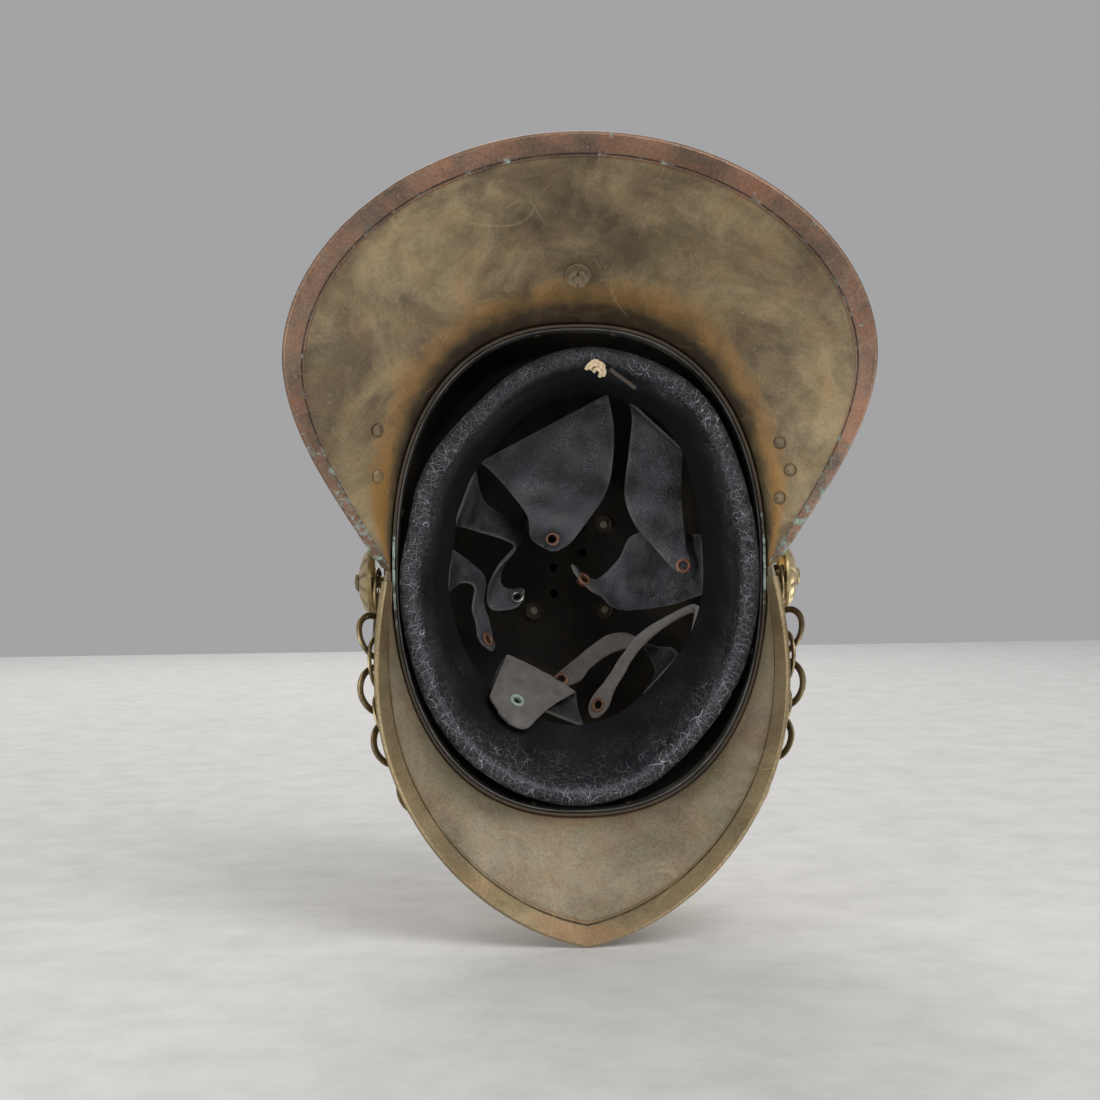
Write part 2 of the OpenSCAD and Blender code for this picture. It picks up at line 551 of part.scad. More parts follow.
module disc_body(outer, inner) {
  polyhedron(concat([outer[0][0]], flat([for (i = [1:len(outer) - 1]) outer[i]]),
    [inner[0][0]], flat([for (i = [1:len(inner) - 1]) inner[i]])), disc_faces(len(outer) - 1, len(outer[0])));
}
function plate_rows(h) = [for (i = [0:plate_rings]) [for (k = [0:plate_steps - 1])
  plate_pt(i / plate_rings, 360 * k / plate_steps, h)]];
module front_plate() {
  color(brass) stand() disc_body(plate_rows(0), plate_rows(sheet_t));
}
oval_rise = 2.5;
oval_steps = 40;
oval_rings = 4;
function oval_top(x, z) = let (r2 = pow(x / oval_w * 2, 2) + pow((z - plate_z) / oval_h * 2, 2))
  plate_off(x, z) + sheet_t + fit_gap + oval_rise * max(0, 1 - r2);
function oval_pt(r, a, h) = let (x = r * oval_w / 2 * cos(a), z = plate_z + r * oval_h / 2 * sin(a))
  [x, front_y(x, z) - oval_top(x, z) - h, z];
function oval_rows(h) = [for (i = [0:oval_rings]) [for (k = [0:oval_steps - 1])
  oval_pt(i / oval_rings, 360 * k / oval_steps, h)]];
module plate_oval() {
  color(brass) stand() disc_body(oval_rows(0), oval_rows(sheet_t));
}
// Relief patch between four corners given as x and height from the oval's middle
function patch(c, m, n, h) = [for (i = [0:m]) [for (j = [0:n]) let (
  v = lerp(lerp(c[0], c[1], i / m), lerp(c[3], c[2], i / m), j / n), z = plate_z + v.y)
  [v.x, front_y(v.x, z) - oval_top(v.x, z) - sheet_t - fit_gap - h, z]]];
axe_t = 1.6;
axe_reach = 15;
axe_rise = 17;
module relief(c, m, n) {
  sheet(patch(c, m, n, axe_t), patch(c, m, n, 0));
}
module axe() {
  relief([[-axe_reach, -axe_rise], [axe_reach * 0.9, axe_rise - 1.2], [axe_reach * 0.8, axe_rise],
    [-axe_reach - 1.6, -axe_rise + 1.6]], 10, 1);
  relief([[axe_reach * 0.45, axe_rise * 0.5], [axe_reach * 0.8, axe_rise * 0.86],
    [axe_reach * 0.2, axe_rise + 2.5], [-1, axe_rise * 0.85]], 3, 3);
}
module crossed_axes() {
  color(copper) stand() union() {
    axe();
    mirror([1, 0, 0]) axe();
  }
}
plate_nut_d = 8;
plate_nut_t = 2.4;
stud_in = sheet_t + fit_gap + plate_nut_t + 1.2;
module at_studs() {
  for (v = plate_stud_spots) translate([v.x, front_y(v.x, v.y), v.y]) rotate([90, 0, 0]) children();
}
stud_head = 0.4;
module plate_studs() {
  color(brass) stand() at_studs() translate([0, 0, -stud_in])
    cylinder(h = stud_in + stud_head, d = plate_stud_d);
}
module plate_nuts() {
  color(brass) stand() for (v = plate_stud_spots) {
    wall = front_y(v.x, v.y) - front_y(abs(v.x) + plate_nut_d / 2, v.y + plate_nut_d / 2);
    inner = max(-wall, 0) + sheet_t + fit_gap;
    translate([v.x, front_y(v.x, v.y) + inner, v.y]) rotate([-90, 0, 0]) difference() {
      cylinder(h = plate_nut_t, d = plate_nut_d);
      translate([0, 0, -1]) cylinder(h = plate_nut_t + 2, d = plate_stud_d + 0.2);
    }
  }
}

// Side bosses: dished disc, chain end and domed rosette on one stem; Z points outwards from the skull
boss_x = side_x(boss_y, boss_z);
disc_stand = 5.2;
chain_stand = 8;
rosette_stand = 11.4;
module at_boss(side) {
  translate([side * boss_x, boss_y, boss_z]) rotate([0, side * 90, 0]) children();
}
module boss_disc() {
  hub = stem_d / 2 + 0.15;
  rotate_extrude() polygon([[hub, fit_gap], [hub + 2.5, fit_gap], [disc_d / 2, disc_stand - 1.6],
    [disc_d / 2, disc_stand - 0.6], [disc_d / 2 - 1.4, disc_stand], [hub + 1.6, 2.6], [hub, 2.6]]);
}
module rosette() {
  hub = stem_d / 2 + 0.15;
  r = rosette_d / 2;
  h = rosette_rise;
  wall = 1.3;
  translate([0, 0, rosette_stand]) rotate_extrude() polygon([[hub, h - wall - 1.4], [hub + 2, h - wall - 1.4],
    [r * 0.45, h * 0.84 - wall], [r * 0.72, h * 0.52 - wall * 0.8], [r - 1.6, 0.25], [r - 1.4, 0], [r, 0],
    [r, 1.2], [r - 0.8, 1.9], [r - 2.2, 1.7], [r * 0.74, h * 0.6], [r * 0.48, h * 0.9], [r * 0.3, h],
    [hub, h]]);
}
boss_nut_d = 11;
boss_nut_t = 2.5;
boss_in = sheet_t + 2 * fit_gap;
module boss_stem() {
  low = -(boss_in + boss_nut_t + 1);
  translate([0, 0, low]) cylinder(h = rosette_stand + rosette_rise + 0.3 - low, d = stem_d);
  translate([0, 0, rosette_stand + rosette_rise + 0.25]) rotate_extrude()
    polygon([[0, 0], [4.4, 0], [4.4, 0.6], [3.4, 1.5], [0, 2.1]]);
}
module boss_nut() {
  translate([0, 0, -boss_in - boss_nut_t]) difference() {
    cylinder(h = boss_nut_t, d = boss_nut_d);
    translate([0, 0, -1]) cylinder(h = boss_nut_t + 2, d = stem_d + 0.2);
    translate([-boss_nut_d, -slot_w / 2, -1]) cube([2 * boss_nut_d, slot_w, slot_deep + 1]);
  }
}
module left_boss_disc() {
  color(brass) stand() at_boss(1) boss_disc();
}
module right_boss_disc() {
  color(brass) stand() at_boss(-1) boss_disc();
}
module left_rosette() {
  color(copper) stand() at_boss(1) rosette();
}
module right_rosette() {
  color(copper) stand() at_boss(-1) rosette();
}
module boss_stems() {
  color(brass) stand() for (side = [-1, 1]) at_boss(side) boss_stem();
}
module boss_nuts() {
  color(brass) stand() for (side = [-1, 1]) at_boss(side) boss_nut();
}

// Chin chain: interlaced rings from boss to boss, stowed over the front peak
chain_lift = sheet_t + ring_d / 2 * sin(ring_tilt) + wire_d / 2 + fit_gap;
// Stations on one side: place along the front peak from the ear, place across the brim, added lift
chain_way = [[0.2, 0.55, 1.5], [0.28, 0.58, 2], [0.36, 0.6, 2.6], [0.46, 0.6, 2.6], [0.58, 0.6, 2.1],
  [0.7, 0.6, 1.4], [0.8, 0.6, 0.9], [0.9, 0.6, 0.7], [1, 0.6, 0.7]];
function brim_up(p, s) = let (e = 0.02, ahead = peak_pt(false, p - e, s) - peak_pt(false, min(p + e, 1), s),
  across = peak_pt(false, p, 1) - peak_pt(false, p, 0.15), n = unit(cross(across, ahead)))
  n.z < 0 ? -n : n;
// Beside the boss the rings' lean off its axis stays between two angles; they rise by part of what it takes
near_lean = [20, 34];
near_rise = 0.4;
function near_up(n) = let (a = clamp(acos(n.x), near_lean[0], near_lean[1]), r = unit([0, n.y, n.z]) * sin(a))
  [cos(a), r.y, r.z];
function turn_rise(n, m) = near_rise * ring_d / 2 * sin(acos(min(1, n * m)));
chain_half = concat([[[boss_x + chain_stand, boss_y, boss_z], [1, 0, 0]]],
  [for (i = [0:len(chain_way) - 1]) let (v = chain_way[i], p = 1 - v[0], n = brim_up(p, v[1]),
    up = i == 0 ? near_up(n) : n)
    [peak_pt(false, p, v[1]) + n * (chain_lift + v[2] + turn_rise(n, up)), up]]);
half_last = len(chain_half) - 1;
function flip_x(v) = [-v.x, v.y, v.z];
chain_ends = concat(chain_half,
  [for (i = [1:half_last]) let (v = chain_half[half_last - i]) [flip_x(v[0]), flip_x(v[1])]]);
chain_pts = [for (v = chain_ends) v[0]];
chain_ups = [for (v = chain_ends) v[1]];
fine = 6;
chain_fine = [for (i = [0:fine * (len(chain_pts) - 1)]) spline_at(chain_pts, i / fine)];
chain_walk = walk(chain_fine, 1, 0);
chain_len = chain_walk[len(chain_fine) - 1];
end_reach = ring_d / 2 - wire_d - stem_d / 2 - 0.25;
ring_pitch = (chain_len - 2 * end_reach) / (ring_count - 1);
function find_step(d, low, high) = high - low <= 1 ? low : let (mid = floor((low + high) / 2))
  chain_walk[mid] > d ? find_step(d, low, mid) : find_step(d, mid, high);
function chain_param(d) = let (i = find_step(d, 0, len(chain_fine) - 1))
  (i + (d - chain_walk[i]) / (chain_walk[i + 1] - chain_walk[i])) / fine;
function ring_at(k) = let (t = chain_param(end_reach + k * ring_pitch), e = 0.3, last = len(chain_pts) - 1,
  c = spline_at(chain_pts, t), ahead = spline_at(chain_pts, min(t + e, last)),
  d = unit(ahead - spline_at(chain_pts, max(t - e, 0))),
  n0 = k == 0 || k == ring_count - 1 ? chain_ups[k == 0 ? 0 : last] : spline_at(chain_ups, t),
  n = unit(n0 - d * (n0 * d))) [c, d, n];
function ring_lean(k) = let (m = min(k, ring_count - 1 - k), share = m == 0 ? 0.3 : m == 1 ? 1.4 : 1)
  (k % 2 == 0 ? 1 : -1) * ring_tilt * share;
module ring_frame(k) {
  f = ring_at(k);
  w = cross(f[2], f[1]);
  multmatrix([[f[1].x, w.x, f[2].x, f[0].x], [f[1].y, w.y, f[2].y, f[0].y], [f[1].z, w.z, f[2].z, f[0].z],
    [0, 0, 0, 1]]) rotate([ring_lean(k), 0, 0]) children();
}
module ring() {
  rotate_extrude() translate([(ring_d - wire_d) / 2, 0]) circle(d = wire_d, $fn = 24);
}
module rings(first, last) {
  for (k = [first:last]) ring_frame(k) ring();
}
hook_gap = 62;
hook_ball = 3;
module chain_eye() {
  color(brass) stand() rings(0, 0);
}
module chain_left_rings() {
  color(brass) stand() rings(1, arm_rings);
}
module chain_front_rings() {
  color(brass) stand() rings(arm_rings + 1, ring_count - 2 - arm_rings);
}
module chain_right_rings() {
  color(brass) stand() rings(ring_count - 1 - arm_rings, ring_count - 2);
}
module chain_hook() {
  r = (ring_d - wire_d) / 2;
  color(brass) stand() ring_frame(ring_count - 1) rotate([0, 0, 40 + hook_gap / 2]) {
    rotate_extrude(angle = 360 - hook_gap) translate([r, 0]) circle(d = wire_d, $fn = 24);
    translate([r, 0, 0]) sphere(d = hook_ball);
    rotate([0, 0, -hook_gap]) translate([r, 0, 0]) sphere(d = hook_ball);
  }
}

// Liner: hoop riveted inside the rim, padded leather roll and band, tongues, eyelets, tie and lace
hoop_t = 0.8;
hoop_low = 3;
hoop_high = 14;
hoop_cols = 52;
hoop_face = -sheet_t - fit_gap;
module liner_hoop() {
  color(brass) stand() difference() {
    loop_body([for (i = [0:hoop_cols - 1]) let (u = 360 * i / hoop_cols)
      [skull_pt(u, hoop_low, hoop_face - hoop_t), skull_pt(u, hoop_high, hoop_face - hoop_t),
       skull_pt(u, hoop_high, hoop_face), skull_pt(u, hoop_low, hoop_face)]]);
    for (u = hoop_rivet_turns) hoop_bore(u, hoop_rivet_d + hole_slack);
  }
}
module liner_rivets() {
  grip = sheet_t + fit_gap + hoop_t + 1;
  color(copper) stand() for (u = hoop_rivet_turns)
    along(skull_pt(u, hoop_rivet_z, 0), rim_out(u)) translate([0, 0, hoop_face - hoop_t - 0.5])
      rivet(hoop_rivet_d, 4.6, grip);
}
roll_a = rim_a - sheet_t - 2 * fit_gap - hoop_t;
roll_b = roll_l / 2;
roll_mid_y = -2;
roll_z = 2;
// Dents and swells of the old leather: turn, spread and depth, inwards positive
roll_dents = [[62, 26, 7], [16, 12, 2.4], [126, 16, -4], [-124, 20, 2.4], [-50, 22, -2]];
function dent(u) = [for (v = roll_dents) let (g = ((u - v[0] + 540) % 360 - 180) / v[1]) v[2] * exp(-g * g)];
function total(v, i = 0) = i == len(v) ? 0 : v[i] + total(v, i + 1);
function roll_r(u) = 1 / sqrt(pow(cos(u) / roll_a, 2) + pow(sin(u) / roll_b, 2)) - total(dent(u));
function band_lean(u) = 12 + 12 * pow(max(0, -sin(u)), 2) - 4 * pow(max(0, sin(u)), 2);
function band_in(u, z) = roll_d + band_lean(u) * pow(max(0, z - roll_z) / (band_h - roll_z), 1.3);
function liner_pt(u, d, z) = let (r = roll_r(u) - d) [r * cos(u), roll_mid_y + r * sin(u), z];
band_cols = 56;
function roll_arc(u, a) = liner_pt(u, roll_d / 2 * (1 - cos(a)), roll_z + roll_d / 2 * sin(a));
function band_ring(u) = concat([for (a = [0, -36, -72, -108, -144, -180]) roll_arc(u, a)],
  [for (z = [10, 20, 33, band_h]) liner_pt(u, band_in(u, z), z)],
  [for (z = [band_h + 0.4, 33, 20, 11]) liner_pt(u, band_in(u, z) - leather_t, z)],
  [roll_arc(u, 110), roll_arc(u, 70), roll_arc(u, 35)]);
module sweatband() {
  color(black_leather) stand() loop_body([for (i = [0:band_cols - 1]) band_ring(360 * i / band_cols)]);
}
// How far each tongue's root sinks to the band, so that its edge lies on it
root_sink = [0, 0.9, 0.8, 0.8, 0.9, 1, 1, 0.8];
function tongue_root(i) = [for (u = tongue_roots[i])
  liner_pt(u, band_in(u, band_h) - leather_t / 2, band_h + 0.4 + fit_gap + leather_t / 2 - root_sink[i])];
function tongue_side(i, k) = concat([tongue_root(i)[k]], [for (e = tongue_edges[i]) e[k]]);
tongue_fine = 3;
function tongue_spot(i, t) = [spline_at(tongue_side(i, 0), t), spline_at(tongue_side(i, 1), t)];
function tongue_normal(i, t) = let (e = 0.15, last = len(tongue_edges[i]),
  a = tongue_spot(i, max(t - e, 0)), b = tongue_spot(i, min(t + e, last)), c = tongue_spot(i, t))
  unit(cross(b[0] + b[1] - a[0] - a[1], c[1] - c[0]));
function tongue_grid(i, h) = let (n = tongue_fine * len(tongue_edges[i])) [for (k = [0:n]) let (
  t = k / tongue_fine, e = tongue_spot(i, t), up = tongue_normal(i, t) * h)
  [e[0] + up, (e[0] + e[1]) / 2 + up, e[1] + up]];
function eyelet_t(i) = len(tongue_edges[i]) - (i == 0 ? 0.95 : i == 3 ? 0.75 : 0.9);
function eyelet_at(i) = let (e = tongue_spot(i, eyelet_t(i))) (e[0] + e[1]) / 2;
// The eyelet stands a little further off where its tongue is bent most
function eyelet_off(i) = leather_t / 2 + (i == 1 ? 1.05 : 0.55);
function eyelet_dir(i) = let (n = tongue_normal(i, eyelet_t(i))) n.z > 0 ? -n : n;
module tongue(i) {
  color(black_leather) stand() difference() {
    sheet(tongue_grid(i, leather_t / 2), tongue_grid(i, -leather_t / 2));
    along(eyelet_at(i), eyelet_dir(i)) cylinder(h = 8, d = eyelet_d, center = true);
  }
}
module crown_tongue_1() tongue(0);
module crown_tongue_2() tongue(1);
module crown_tongue_3() tongue(2);
module crown_tongue_4() tongue(3);
module crown_tongue_5() tongue(4);
module crown_tongue_6() tongue(5);
module crown_tongue_7() tongue(6);
module crown_tongue_8() tongue(7);
module tongue_eyelets() {
  color(copper) stand() for (i = [0:7]) along(eyelet_at(i), eyelet_dir(i)) difference() {
    translate([0, 0, eyelet_off(i)]) cylinder(h = 0.8, d = eyelet_d + 2.4);
    cylinder(h = 6, d = eyelet_d);
  }
}
knot_z = roll_z - roll_d / 2 - tie_d / 2 - 0.3;
module liner_tie() {
  color(cord_tan) stand() for (a = [-35, 35]) translate([knot_xy.x, knot_xy.y - roll_d / 2, knot_z])
    rotate([0, 0, a]) {
      rotate_extrude() translate([4.5, 0]) circle(d = tie_d, $fn = 24);
    }
}
lace_sides = 8;
function lace_ring(i) = let (p = lace_way[i]) [for (a = [0:lace_sides - 1]) let (b = -360 * a / lace_sides)
  [p.x, p.y - roll_d / 2 + tie_d / 2 * cos(b), knot_z + tie_d / 2 * sin(b)]];
module liner_lace() {
  m = len(lace_way) - 1;
  rows = [for (i = [0:m]) lace_ring(i)];
  n = lace_sides;
  ends = [[for (j = [0:n - 1]) j], [for (j = [0:n - 1]) m * n + n - 1 - j]];
  walls = [for (i = [0:m - 1], j = [0:n - 1]) let (a = i * n + j, b = i * n + (j + 1) % n) each
    [[a, a + n, b + n], [a, b + n, b]]];
  color(copper) stand() polyhedron(flat(rows), concat(ends, walls));
}

skull_left();
skull_right();
rear_peak();
rear_peak_binding();
rear_peak_rivets();
front_peak();
front_peak_binding();
comb_left();
comb_right();
comb_screws();
comb_washers();
comb_nuts();
comb_tail_screw();
comb_tail_washer();
comb_tail_nut();
front_plate();
plate_oval();
crossed_axes();
plate_studs();
plate_nuts();
left_rosette();
right_rosette();
left_boss_disc();
right_boss_disc();
boss_stems();
boss_nuts();
chain_eye();
chain_left_rings();
chain_hook();
chain_right_rings();
chain_front_rings();
liner_hoop();
liner_rivets();
sweatband();
crown_tongue_1();
crown_tongue_2();
crown_tongue_3();
crown_tongue_4();
crown_tongue_5();
crown_tongue_6();
crown_tongue_7();
crown_tongue_8();
tongue_eyelets();
liner_tie();
liner_lace();
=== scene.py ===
"""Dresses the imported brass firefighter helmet: aged brass, leather, chain, stage and camera."""
import math
import random

import bmesh
import bpy
import numpy as np
from mathutils import Matrix, Vector

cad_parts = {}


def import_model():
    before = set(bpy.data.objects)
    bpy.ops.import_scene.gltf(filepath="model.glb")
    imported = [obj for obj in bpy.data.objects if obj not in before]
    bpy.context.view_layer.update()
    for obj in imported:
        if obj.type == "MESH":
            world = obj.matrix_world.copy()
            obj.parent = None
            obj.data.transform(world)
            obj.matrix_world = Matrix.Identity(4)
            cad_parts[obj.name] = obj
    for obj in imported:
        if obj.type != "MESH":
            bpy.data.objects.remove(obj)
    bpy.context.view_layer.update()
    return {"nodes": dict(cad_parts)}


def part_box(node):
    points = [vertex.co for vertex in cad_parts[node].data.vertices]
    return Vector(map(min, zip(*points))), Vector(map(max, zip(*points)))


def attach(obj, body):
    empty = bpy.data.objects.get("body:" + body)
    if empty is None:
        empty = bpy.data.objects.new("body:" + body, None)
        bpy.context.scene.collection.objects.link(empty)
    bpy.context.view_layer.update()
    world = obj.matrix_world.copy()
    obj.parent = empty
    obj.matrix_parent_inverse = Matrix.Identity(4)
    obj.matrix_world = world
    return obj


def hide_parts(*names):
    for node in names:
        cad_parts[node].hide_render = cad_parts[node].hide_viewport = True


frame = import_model()
NODES = frame["nodes"]
ROOT = "helmet"
MM = 0.001

# Driving sizes in millimetres, level on the skull's rim, as in the part's source
SKULL_W, SKULL_L, SKULL_H = 174.0, 229.0, 148.0
SHEET_T = 1.1
VENT_D = 4.6
FIT_GAP = 0.35
REAR_REACH, REAR_W, REAR_DROP = 75.3, 261.0, 62.0
FLANGE_H = 6.0
FRONT_REACH, FRONT_W, FRONT_DROP = 54.0, 186.0, 30.0
BIND_W = 8.0
COMB_H, COMB_HALF_W, COMB_FOOT = 46.0, 11.0, 5.0
SCREW_X = 21.0
PLATE_W, PLATE_H, PLATE_RAYS = 84.0, 92.0, 24
OVAL_W, OVAL_H = 40.0, 50.0
ROSETTE_D, ROSETTE_RISE = 35.0, 6.0
STEM_D = 6.0
BOSS_Y, BOSS_Z = -4.5, 20.0
RING_D, WIRE_D = 24.6, 2.2
ROLL_L, ROLL_D = 216.0, 10.0
BAND_H = 46.0
LEATHER_T = 2.0
EYELET_D = 5.0
TIE_D = 2.4
PLAN_POW, CROWN_POW = 2.35, 2.15
RIM_A, RIM_B = SKULL_W / 2, SKULL_L / 2
EAR_X, EAR_DROP = RIM_A + 4, 3.0
REAR_EDGE, REAR_HALF = RIM_B + REAR_REACH, REAR_W / 2
FRONT_EDGE, FRONT_HALF = RIM_B + FRONT_REACH, FRONT_W / 2
REAR_TURN, FRONT_TURN = 0.42, 0.35
REAR_MID_Y, FRONT_MID_Y = RIM_B * 0.8, -RIM_B * 0.5


# Points, lines and the helmet's own stance
def unit(v):
    return v / np.linalg.norm(v, axis=-1, keepdims=True)


def xyz(x, y, z):
    return np.stack(np.broadcast_arrays(x, y, z), axis=-1).astype(float)


def bez(points, t):
    t = np.asarray(t, float)[..., None]
    a, b, c, d = (np.asarray(p, float) for p in points)
    return a * (1 - t) ** 3 + 3 * b * t * (1 - t) ** 2 + 3 * c * t * t * (1 - t) + d * t ** 3


def spline(points, t):
    """A smooth line through the points, with t from 0 to one less than their number."""
    p = np.asarray(points, float)
    t = np.asarray(t, float)
    last = len(p) - 1
    i = np.clip(np.floor(t).astype(int), 0, last - 1)
    k = (t - i)[..., None]
    a, b, c, d = p[np.maximum(i - 1, 0)], p[i], p[i + 1], p[np.minimum(i + 2, last)]
    return 0.5 * (2 * b + (c - a) * k + (2 * a - 5 * b + 4 * c - d) * k * k
                  + (3 * b - a - 3 * c + d) * k ** 3)


def lengths_along(line):
    """The way from a line's first point to each of its points."""
    return np.concatenate([[0], np.cumsum(np.linalg.norm(np.diff(line, axis=0), axis=1))])


def round_angles(count):
    return np.linspace(0, 2 * math.pi, count, endpoint=False)


def rim_unit(u):
    c, s = np.cos(u), np.sin(u)
    k = (np.abs(c) ** PLAN_POW + np.abs(s) ** PLAN_POW) ** (-1 / PLAN_POW)
    return k * c, k * s


def wall_share(z, grow):
    return (1 - np.clip(z / (SKULL_H + grow), 0, 1) ** CROWN_POW) ** (1 / CROWN_POW)


def skull_pt(u, z, grow=0.0):
    x, y = rim_unit(np.asarray(u, float))
    g = wall_share(np.asarray(z, float), grow)
    return xyz((RIM_A + grow) * g * x, (RIM_B + grow) * g * y, z)


def lift_z(lift, grow):
    return (SKULL_H + grow) * np.sin(lift) ** (2 / CROWN_POW)


def plan_sum(x, y, grow):
    return (np.abs(x) / (RIM_A + grow)) ** PLAN_POW + (np.abs(y) / (RIM_B + grow)) ** PLAN_POW


def skull_level(p, grow):
    """1 on the skull's surface, more outside it."""
    side = plan_sum(p[..., 0], p[..., 1], grow)
    return side ** (CROWN_POW / PLAN_POW) + (np.maximum(p[..., 2], 0) / (SKULL_H + grow)) ** CROWN_POW


def reach(p, d, grow, high):
    """How far p goes along d to the skull's surface."""
    low = np.zeros(p.shape[:-1])
    high = np.full(p.shape[:-1], float(high))
    for _ in range(18):
        mid = (low + high) / 2
        outside = skull_level(p + d * mid[..., None], grow) > 1
        low, high = np.where(outside, mid, low), np.where(outside, high, mid)
    return (low + high) / 2


def wall_out(along, half_along, half_out, z):
    """How far out the skull's wall stands at height z, at a place along the other half axis."""
    level = (1 - (z / SKULL_H) ** CROWN_POW) ** (PLAN_POW / CROWN_POW)
    return half_out * (level - (np.abs(along) / half_along) ** PLAN_POW) ** (1 / PLAN_POW)


def front_y(x, z):
    return -wall_out(x, RIM_A, RIM_B, z)


def top_z(x, y):
    return SKULL_H * (1 - plan_sum(x, y, 0.0) ** (CROWN_POW / PLAN_POW)) ** (1 / CROWN_POW)


def crown_normal(x, y):
    n = np.array([top_z(x - 1, y) - top_z(x + 1, y), top_z(x, y - 1) - top_z(x, y + 1), 2.0])
    return n / np.linalg.norm(n)


def two_part(q, turn, first, second):
    k = np.asarray(q, float)
    return np.where((k < turn)[..., None], bez(first, np.clip(k / turn, 0, 1)),
                    bez(second, np.clip((k - turn) / (1 - turn), 0, 1)))


def rear_line(q):
    mid = (REAR_HALF, REAR_MID_Y)
    return two_part(q, REAR_TURN,
                    [(EAR_X, 3), (EAR_X + 19, 34), (REAR_HALF - 1, REAR_MID_Y - 30), mid],
                    [mid, (REAR_HALF + 1, REAR_MID_Y + 48), (REAR_HALF * 0.575, REAR_EDGE), (0, REAR_EDGE)])


def front_line(q):
    mid = (FRONT_HALF, FRONT_MID_Y)
    return two_part(q, FRONT_TURN,
                    [(EAR_X - 2, 1), (EAR_X + 1, -15), (FRONT_HALF + 2, FRONT_MID_Y + 19), mid],
                    [mid, (FRONT_HALF - 4, FRONT_MID_Y - 58), (FRONT_HALF * 0.5, -FRONT_EDGE + 9),
                     (0, -FRONT_EDGE)])


def peak_edge(rear, p):
    q = 1 - np.abs(p)
    e = rear_line(q) if rear else front_line(q)
    drop = (REAR_DROP if rear else FRONT_DROP) - EAR_DROP
    z = -EAR_DROP - drop * (1 - (1 - q) ** (2.4 if rear else 2))
    return xyz(np.where(p < 0, -e[..., 0], e[..., 0]), e[..., 1], z)


def peak_root(rear, p):
    q = 1 - np.abs(p)
    u = np.radians((90 if rear else -90) * q ** (1.15 if rear else 1.1))
    r = skull_pt(u, np.full(np.shape(u), FLANGE_H), FIT_GAP)
    return xyz(np.where(p < 0, -r[..., 0], r[..., 0]), r[..., 1], r[..., 2])


# How a peak's section leaves the skull and meets its edge
ROOT_FALL, ROOT_FALL_SHARE = 16, 0.45
EDGE_EASE = np.array([0.47, 0.47, 0.38])


def peak_pt(rear, p, s):
    """Under face of a peak: p from the left ear at 1 to the right at -1, s from the skull to the edge."""
    p, s = np.broadcast_arrays(np.asarray(p, float), np.asarray(s, float))
    a, d = peak_root(rear, p), peak_edge(rear, p)
    span = np.linalg.norm(d - a, axis=-1)
    b = a - xyz(0, 0, np.minimum(ROOT_FALL, ROOT_FALL_SHARE * span))
    return bez((a, b, d + (a - d) * EDGE_EASE, d), s)


def peak_normal(rear, p, s):
    e = 0.01
    p, s = np.broadcast_arrays(np.asarray(p, float), np.asarray(s, float))
    dp = peak_pt(rear, np.clip(p + e, -1, 1), s) - peak_pt(rear, np.clip(p - e, -1, 1), s)
    ds = peak_pt(rear, p, np.clip(s + e, 0, 1)) - peak_pt(rear, p, np.clip(s - e, 0, 1))
    n = unit(np.cross(dp, ds))
    return n if rear else -n


def peak_span(rear, p):
    return np.linalg.norm(peak_edge(rear, p) - peak_root(rear, p), axis=-1)


PITCH = math.atan2(float(peak_edge(False, np.array(0.0))[2] - peak_edge(True, np.array(0.0))[2]),
                   REAR_EDGE + FRONT_EDGE)


def turned(p):
    c, s = math.cos(PITCH), math.sin(PITCH)
    return xyz(p[..., 0], p[..., 1] * c - p[..., 2] * s, p[..., 1] * s + p[..., 2] * c)


# The stance comes from the frame: the level skull's box is known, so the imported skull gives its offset
_skull_low, _skull_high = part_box("skull_left")
_rim = turned(skull_pt(np.radians(np.linspace(-90, 90, 721)), 0.0))
_crown = turned(skull_pt(np.radians(90.0), np.linspace(0, SKULL_H, 721)))
_crown_front = turned(skull_pt(np.radians(-90.0), np.linspace(0, SKULL_H, 721)))
LIFT_UP = _skull_high.z / MM - max(_crown[:, 2].max(), _crown_front[:, 2].max())
MID_Y = -_skull_low.y / MM + min(_rim[:, 1].min(), _crown_front[:, 1].min())


def to_row(p):
    """Millimetres level on the rim to metres in the row frame."""
    return (turned(np.asarray(p, float)) + np.array([0, -MID_Y, LIFT_UP])) * MM


def turn_row(d):
    return turned(np.asarray(d, float))


# Smooth noise in code, for dents and unevenness
def waves(p, scale, seed, count=7):
    """A gentle uneven field between about -1 and 1 over points in millimetres."""
    rng = np.random.default_rng(seed)
    total = np.zeros(p.shape[:-1])
    for _ in range(count):
        d = unit(rng.normal(size=3)) * (2 * math.pi / scale) * rng.uniform(0.6, 1.5)
        total += np.sin(p @ d + rng.uniform(0, 2 * math.pi))
    return total / count ** 0.5 * 0.7


# Mesh builders
def set_mark(bm, key, values):
    """A float mark per point; values for one face of a sheet serve its other face too."""
    layer = bm.verts.layers.float.new(key)
    flat = np.asarray(values, float).ravel()
    flat = np.tile(flat, len(bm.verts) // len(flat))
    for vert, value in zip(bm.verts, flat):
        vert[layer] = value


